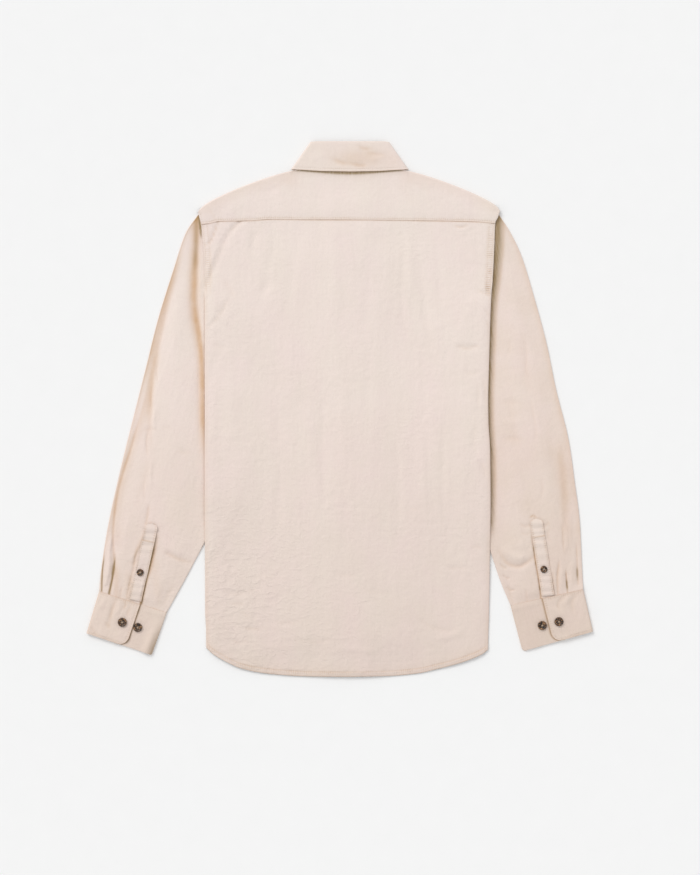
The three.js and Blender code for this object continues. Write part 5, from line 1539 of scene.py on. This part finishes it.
def cuff_panel(side):
    info = SLEEVES[side]
    sign = info["sign"]
    down = spread((0, 0.06, 3), (0.06, 0.9, 22), (0.9, 1, 7))[:, None]
    from_point = cuff_point(side, 0, down[:, 0])
    to_point = cuff_point(side, 1, down[:, 0])
    width = np.linalg.norm(from_point - to_point, axis=1)[:, None]
    depth = np.linalg.norm(cuff_point(side, 0, 0) - cuff_point(side, 0, 1))
    away = (from_point - to_point) / width
    outer_radius = CUFF_PITCH
    inner_radius = CUFF_PITCH / 2
    start = (outer_radius + CUFF_HALF) / width

    def corner_cut(round_radius):
        """How much a rounded bottom corner takes off the width in each row."""
        to_corner = np.maximum(0, round_radius - (1 - down) * depth)
        return (round_radius - np.sqrt(np.maximum(round_radius**2 - to_corner**2, 0))) / width

    end = 1 - (inner_radius + CUFF_HALF) / width - corner_cut(CUFF_FOLD_CORNER[side])
    overlap = info["overlap"] - corner_cut(CUFF_CORNER)

    def run(first, last, layer, steps):
        share = lerp(first, last, spread((0, 0.06, 3), (0.06, 1, steps))[None, :])
        plan = cuff_point(side, share, np.broadcast_to(down, share.shape))
        x = sign * plan[..., 0]
        y = plan[..., 1]
        z = np.full(x.shape, float(CUFF_LEVELS[layer]))
        warm_shade = np.zeros(x.shape)
        drawn = np.zeros(x.shape)
        if layer == "overlap":
            inside = smooth(0, 0.1, down) * smooth(0, 0.1, 1 - down)
            inside = inside * smooth(0, 4, (share - start) * width)
            wave, warm_shade = cuff_top(side, x, y)
            z = z + wave * inside
            to_end = (overlap - share) * width
            to_low = (1 - down) * depth
            to_top = down * depth
            # A stitched groove along each edge, with painted shade at the edge itself.
            for to_edge in (to_end, to_low, to_top):
                z = z - 0.25 * bell(to_edge - CUFF_ROW, 0.8)
                warm_shade = warm_shade + 0.25 * bell(to_edge, 1.0)
            drawn = 0.7 * bell(to_end - 2.6, 2)
            drawn = drawn - 0.7 * bell(np.minimum(to_low, to_top) - 2.6, 2) * (to_end > 5)
        dark = np.full(x.shape, 0.07 if side == "right" else 0.0)
        if layer == "underlap":
            beyond = (share - overlap) * width
            # Painted shadow of the overlap's edge on the underlap.
            close = bell(beyond - 0.3, 1.7)
            edge_shadow, edge_warm_shadow = (0.95, 0.2) if side == "left" else (0.5, 0.5)
            dark = dark + edge_shadow * close + 0.05
            to_fold = (1 - share) * width
            z = z + 0.5 * cuff_wave(x, y) * smooth(2, 6, to_fold)
            z = z + 0.8 * bell(down * depth - 5.5, 3) * smooth(6, 14, beyond)
            # On the left the underlap bulges before its inner fold, with painted shade along the fold.
            if side == "left":
                z = z + 3 * smooth(0.1, 0.8, down) * bell(to_fold - 9, 6)
                dark = dark + 0.7 * smooth(0, 0.9, down) * bell(to_fold, 4 + 4 * down)
            else:
                z = z - 0.7 * bell(to_fold, 8)
            warm_shade = warm_shade + edge_warm_shadow * close
        girth = CUFF_GIRTH[layer] + np.abs(share - first) * width
        return pack(x, y, z, girth, down * depth, warm_shade, dark, drawn)

    def fold(at, direction, radius, before, after, which):
        """A half turn between the last column of one run and the first of the next."""
        turn = np.linspace(0, math.pi, 9)[None, 1:-1]
        share = np.broadcast_to(at, (len(down), 1))
        plan = cuff_point(side, share, down)
        reach = (direction * radius * np.sin(turn))[..., None]
        plan = plan + away[:, None, :] * reach
        turned = (1 - np.cos(turn)) / 2
        level, dark = (lerp(before[:, -1:, k], after[:, :1, k], turned) for k in (2, 6))
        x = sign * plan[..., 0]
        girth = CUFF_GIRTH[which] + radius * turn
        # Painted warm shade round the fold.
        return pack(x, plan[..., 1], level, girth, down * depth, 0.1, dark)

    upper = run(overlap, start, "overlap", 44)
    lower = run(start, end, "lower", 30)
    underlap = run(end, info["overlap"] - CUFF_UNDERLAP, "underlap", 34)
    outer_turn = fold(start, 1, outer_radius, upper, lower, "outer")
    inner_turn = fold(end, -1, inner_radius, lower, underlap, "inner")
    grid = np.concatenate([upper, outer_turn, lower, inner_turn, underlap], axis=1)
    return cloth(f"cuff_{side}_cloth", [grid], CUFF_SHOWN, flannel_cuff, 0.45)


# ---------------------------------------------------------------- stitches
def stitch_row(points):
    """Ends of each stitch along a line of 3-D points."""
    step = np.linalg.norm(np.diff(points, axis=0), axis=1)
    at = np.concatenate([[0], np.cumsum(step)])
    count = max(1, int(at[-1] / STITCH["pitch"]))
    middles = (np.arange(count) + 0.5) * at[-1] / count
    low, high = (
        np.stack([np.interp(middles + aim, at, column) for column in points.T], -1)
        for aim in (-STITCH["aim"], STITCH["aim"])
    )
    return zip(low, high)


def stitches(name, rows):
    """One mesh of small rounded stitches along rows of 3-D points."""
    bm = bmesh.new()
    size = Matrix.Diagonal((STITCH["long"] / 2, STITCH["wide"] / 2, STITCH["high"] / 2)) * MM
    for row in rows:
        for low, high in stitch_row(row):
            way = Vector(high - low).normalized()
            across = Vector((0, 0, 1)).cross(way).normalized()
            turn = Matrix((way, across, way.cross(across))).transposed()
            matrix = Matrix.Translation(place(*((low + high) / 2))) @ (turn @ size).to_4x4()
            bmesh.ops.create_uvsphere(bm, u_segments=6, v_segments=4, radius=1, matrix=matrix)
    for face in bm.faces:
        face.smooth = True
    return finish(name, bm, seam_thread)


def thread_rise(wall):
    return wall / 2 + THREAD_PROUD


def lifted(points, top):
    """Plan points carried onto a surface, as far above its middle as thread lies."""
    z = top(points[:, 0], points[:, 1])[0]
    return np.column_stack([points, z + thread_rise(SHOWN)])


def side_row(sign, inset, y):
    return np.column_stack([sign * (edge_at(sign, y) - inset), y])


def back_rows():
    x = np.linspace(-214, 205, 240)
    rows = [lifted(np.column_stack([x, hem_at(x) + HEM_BAND]), back_top)]
    for sign, foot in ((-1, 214), (1, 172)):
        y = np.linspace(276, foot, 50)
        rows.extend(lifted(side_row(sign, inset, y), back_top) for inset in ARMHOLE_ROWS)
    return rows


def yoke_rows():
    x = np.linspace(-216, 213, 200)
    rows = [lifted(np.column_stack([x, yoke_seam(x) + YOKE_ROW]), yoke_top)]
    y = np.linspace(283, 297, 8)
    rows.extend(lifted(side_row(sign, YOKE_SIDE_ROW, y), yoke_top) for sign in (-1, 1))
    return rows


def leaf_rows():
    base, edge, _, _, out, angle = collar_frame()
    length = np.linalg.norm(base - edge, axis=1)[:, None]
    plan = edge + (base - edge) * (LEAF_ROW / length)
    distance = LEAF_OUT + thread_rise(LEAF_SHOWN)
    seen = np.cos(angle[:, 0]) > -0.2
    angle = angle[seen]
    flat = plan[seen] + out[seen] * (distance * np.sin(angle))
    right = np.column_stack([flat, COLLAR_MIDDLE + distance * np.cos(angle)])
    return [np.concatenate([(right * (-1, 1, 1))[:0:-1], right])]


def placket_rows(side):
    sign = SLEEVES[side]["sign"]
    foot, way, across, length = placket_frame(side)
    half = SLEEVE_PLACKET / 2
    box = length * (1 - PLACKET_BOX)

    def row(along, out):
        points = (foot + way * along[:, None] + across * out[:, None]) * (sign, 1)
        z = placket_top(side, points[:, 0], points[:, 1])[0] + placket_waves(side, along, out / half)
        return np.column_stack([points, z + thread_rise(SHOWN)])

    rows = []
    for out in (-half + PLACKET_ROW, half - PLACKET_ROW):
        rows.append(row(np.linspace(3, length - 9, 60), np.full(60, out)))
    for along in (box, box * 0.345):
        rows.append(row(np.full(8, along), np.linspace(-half + 2.5, half - 2.5, 8)))
    return rows


def cuff_rows(side):
    info = SLEEVES[side]
    start = 0.03
    top = CUFF_ROW / CUFF_DEEP
    low = 1 - top
    end = info["overlap"] - CUFF_ROW / CUFF_WIDE
    corner = (CUFF_CORNER - CUFF_ROW) / CUFF_WIDE
    drop = (CUFF_CORNER - CUFF_ROW) / CUFF_DEEP
    around = [(start, low), (end - corner, low)]
    for turn in np.linspace(0, math.pi / 2, 6)[1:]:
        around.append((end - corner * (1 - math.sin(turn)), low - drop * (1 - math.cos(turn))))
    around.append((end, top))
    level = CUFF_LEVELS["overlap"] + thread_rise(CUFF_SHOWN) - 0.22
    rows = []
    for row in (np.array(around), np.array([(start, top), (end, top)])):
        fine = np.linspace(0, len(row) - 1, 90)
        across, down = (np.interp(fine, np.arange(len(row)), column) for column in row.T)
        points = cuff_point(side, across, down) * (info["sign"], 1)
        z = level + cuff_top(side, points[:, 0], points[:, 1])[0] * 0.5
        rows.append(np.column_stack([points, z]))
    return rows


# ---------------------------------------------------------------- buttons
def button_form(radius, thick, name):
    """A turned button with a rounded rim, a shallow dish and four holes; its back is at z = 0."""
    profile = [
        (0, 0),
        (radius - 0.9, 0),
        (radius - 0.3, 0.15),
        (radius, 0.55),
        (radius, thick - 0.75),
        (radius - 0.2, thick - 0.3),
        (radius - 0.65, thick - 0.05),
        (radius - 1.05, thick),
        (radius - 1.5, thick - 0.1),
        (radius - 2.0, thick - 0.4),
        (radius - 2.6, thick - 0.62),
        (0, thick - 0.7),
    ]
    bm = bmesh.new()
    verts = [bm.verts.new((x * MM, 0, z * MM)) for x, z in profile]
    edges = [bm.edges.new(pair) for pair in zip(verts, verts[1:])]
    around = {"cent": (0, 0, 0), "axis": (0, 0, 1), "angle": math.tau}
    bmesh.ops.spin(bm, geom=[*verts, *edges], steps=40, use_merge=True, **around)
    bmesh.ops.remove_doubles(bm, verts=bm.verts, dist=1e-6)
    bmesh.ops.recalc_face_normals(bm, faces=bm.faces)
    whole = linked(name, mesh_of(name, bm))

    drill = bmesh.new()
    size = {"radius1": HOLE_RADIUS * MM, "radius2": HOLE_RADIUS * MM, "depth": 12 * MM}
    for i in range(4):
        turn = math.pi / 2 * (i + 0.5)
        where = Vector((math.cos(turn), math.sin(turn), 0)) * HOLE_OUT * MM
        matrix = Matrix.Translation(where)
        bmesh.ops.create_cone(drill, cap_ends=True, segments=16, matrix=matrix, **size)
    holes = linked(name + "_drill", mesh_of(name + "_drill", drill))

    cut = whole.modifiers.new("holes", "BOOLEAN")
    cut.object = holes
    cut.operation = "DIFFERENCE"
    cut.solver = "EXACT"
    bpy.context.view_layer.update()
    seen = whole.evaluated_get(bpy.context.evaluated_depsgraph_get())
    made = bpy.data.meshes.new_from_object(seen)
    bpy.data.objects.remove(whole)
    bpy.data.objects.remove(holes)
    return made


def lay_button(name, form, matrix):
    bm = bmesh.new()
    bm.from_mesh(form)
    bmesh.ops.transform(bm, matrix=matrix, verts=bm.verts)
    bmesh.ops.recalc_face_normals(bm, faces=bm.faces)
    for face in bm.faces:
        face.smooth = face.calc_area() < FLAT_FACE
    return finish(name, bm, horn_finish)


def lay_thread(name, matrix, thick, sunk):
    """Thread over the four holes: two strands each way, crossing in the middle of the button."""
    bm = bmesh.new()
    for i in range(2):
        turn = math.pi / 4 + i * math.pi / 2
        for shift in (-STRAND[1], STRAND[1]):
            high = thick - sunk - STRAND_LOW + STRAND_STEP * i
            away = Matrix.Translation(Vector((0, shift, high)) * MM)
            shape = Matrix.Diagonal(Vector(STRAND) * MM).to_4x4()
            local = matrix @ Matrix.Rotation(turn, 4, "Z") @ away @ shape
            bmesh.ops.create_uvsphere(bm, u_segments=8, v_segments=6, radius=1, matrix=local)
    for face in bm.faces:
        face.smooth = True
    return finish(name, bm, button_thread)


# ---------------------------------------------------------------- the shirt
back = back_panel()
yoke = yoke_panel()
fronts = {side: front_panel(side) for side in SLEEVES}
band = front_band()
leaf = collar_leaf()
stand = collar_stand()
sleeves = {side: sleeve_panel(side) for side in SLEEVES}
plackets = {side: sleeve_placket(side) for side in SLEEVES}
cuffs = {side: cuff_panel(side) for side in SLEEVES}

back_seams = stitches("back_stitches", back_rows())
yoke_seams = stitches("yoke_stitches", yoke_rows())
leaf_seams = stitches("collar_stitches", leaf_rows())
placket_seams = {side: stitches(f"placket_{side}_stitches", placket_rows(side)) for side in SLEEVES}
cuff_seams = {side: stitches(f"cuff_{side}_stitches", cuff_rows(side)) for side in SLEEVES}

forms = {
    kind: button_form(size["radius"], size["thick"], f"{kind}_form") for kind, size in BUTTONS.items()
}
buttons = []


def button(kind, node, spot, turned, sunk=0.0):
    """A button in horn and its thread, named after the CAD's button."""
    matrix = Matrix.Translation(spot) @ turned
    buttons.append((lay_button(f"{node}_horn", forms[kind], matrix), node))
    lay_thread(f"{node}_thread", matrix, BUTTONS[kind]["thick"], sunk)


def face_up(turn):
    return Matrix.Rotation(turn, 4, "Z")


def face_down_button(kind, node, y):
    """A button under the front, against the floor with its face down."""
    button(kind, node, place(0, y, BUTTONS[kind]["thick"]), Matrix.Rotation(math.pi, 4, "X"), THREAD_SUNK)


for side, info in SLEEVES.items():
    sign = info["sign"]
    for (x, y), layer, tail in zip(info["buttons"], ("overlap", "underlap"), ("", "_inner")):
        spot = place(sign * x, y, CUFF_LEVELS[layer] + CUFF_HALF + GAP)
        button("cuff", f"cuff_button_{side}{tail}", spot, face_up(BUTTON_TURNS[f"cuff{tail}"]))
    x, y = info["placket_button"]
    top = placket_top(side, np.array([sign * x]), np.array([y]))[0]
    spot = place(sign * x, y, float(top[0]) + SHOWN / 2 + GAP)
    button("placket", f"placket_button_{side}", spot, face_up(BUTTON_TURNS["placket"]))
for i in range(BUTTONS["front"]["count"]):
    y = BUTTONS["front"]["first"] - i * BUTTONS["front"]["pitch"]
    face_down_button("front", f"front_button_{i + 1}", y)
face_down_button("collar", "collar_button", BUTTONS["collar"]["y"])

# ---------------------------------------------------------------- how the pieces ride
for piece in root_pieces:
    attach(piece, "root")
for piece, node in buttons:
    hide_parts(node)
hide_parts("back")
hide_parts("yoke")
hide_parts("front_placket")
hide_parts("collar_leaf")
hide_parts("collar_stand")
for side in SLEEVES:
    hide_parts(f"front_{side}")
    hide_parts(f"sleeve_{side}")
    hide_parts(f"sleeve_placket_{side}")
    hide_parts(f"cuff_{side}")

# ---------------------------------------------------------------- floor, light and camera
FLOOR_TONES = ((0.9, 0.905, 0.91, 1), (0.92, 0.925, 0.93, 1))
SKY_STRENGTH = 0.734
SUN_STRENGTH = 1.28
SUN_SOFT = 30  # degrees across
SUN_TONE = (1, 0.985, 0.96)
SUN_FROM = (-0.6, 0.78, 0.86)
FRAME_HIGH = 1.3125
LENS = 100
SENSOR = 36
PLANE = 0.008  # height at which the frame is FRAME_HIGH high
FRAME_MIDDLE = (0.0161, -0.04275)

floor_look = Nodes("pale_floor")
base = floor_look.mix(floor_look.noise(floor_look.here(), 30, 3, 0.5), *FLOOR_TONES)
floor_look.fill(floor_look.shader, {"Base Color": base, "Roughness": 0.9})
floor_bm = bmesh.new()
bmesh.ops.create_grid(floor_bm, x_segments=8, y_segments=8, size=4)
floor = linked("floor", mesh_of("floor", floor_bm))
floor.data.materials.append(floor_look.material)

scene = bpy.context.scene
scene.view_settings.view_transform = "Standard"
scene.world = bpy.data.worlds.new("studio")
scene.world.use_nodes = True
sky = scene.world.node_tree.nodes["Background"]
sky.inputs["Color"].default_value = WHITE
sky.inputs["Strength"].default_value = SKY_STRENGTH

sun_data = bpy.data.lights.new("key", "SUN")
sun_data.energy = SUN_STRENGTH
sun_data.angle = math.radians(SUN_SOFT)
sun_data.color = SUN_TONE
linked("key", sun_data).rotation_euler = Vector(SUN_FROM).to_track_quat("Z", "Y").to_euler()

camera_data = bpy.data.cameras.new("overhead")
camera_data.lens = LENS
camera_data.sensor_width = SENSOR
camera_data.clip_end = 20
camera = linked("overhead", camera_data)
camera.location = (*FRAME_MIDDLE, PLANE + FRAME_HIGH * LENS / SENSOR)
scene.camera = camera
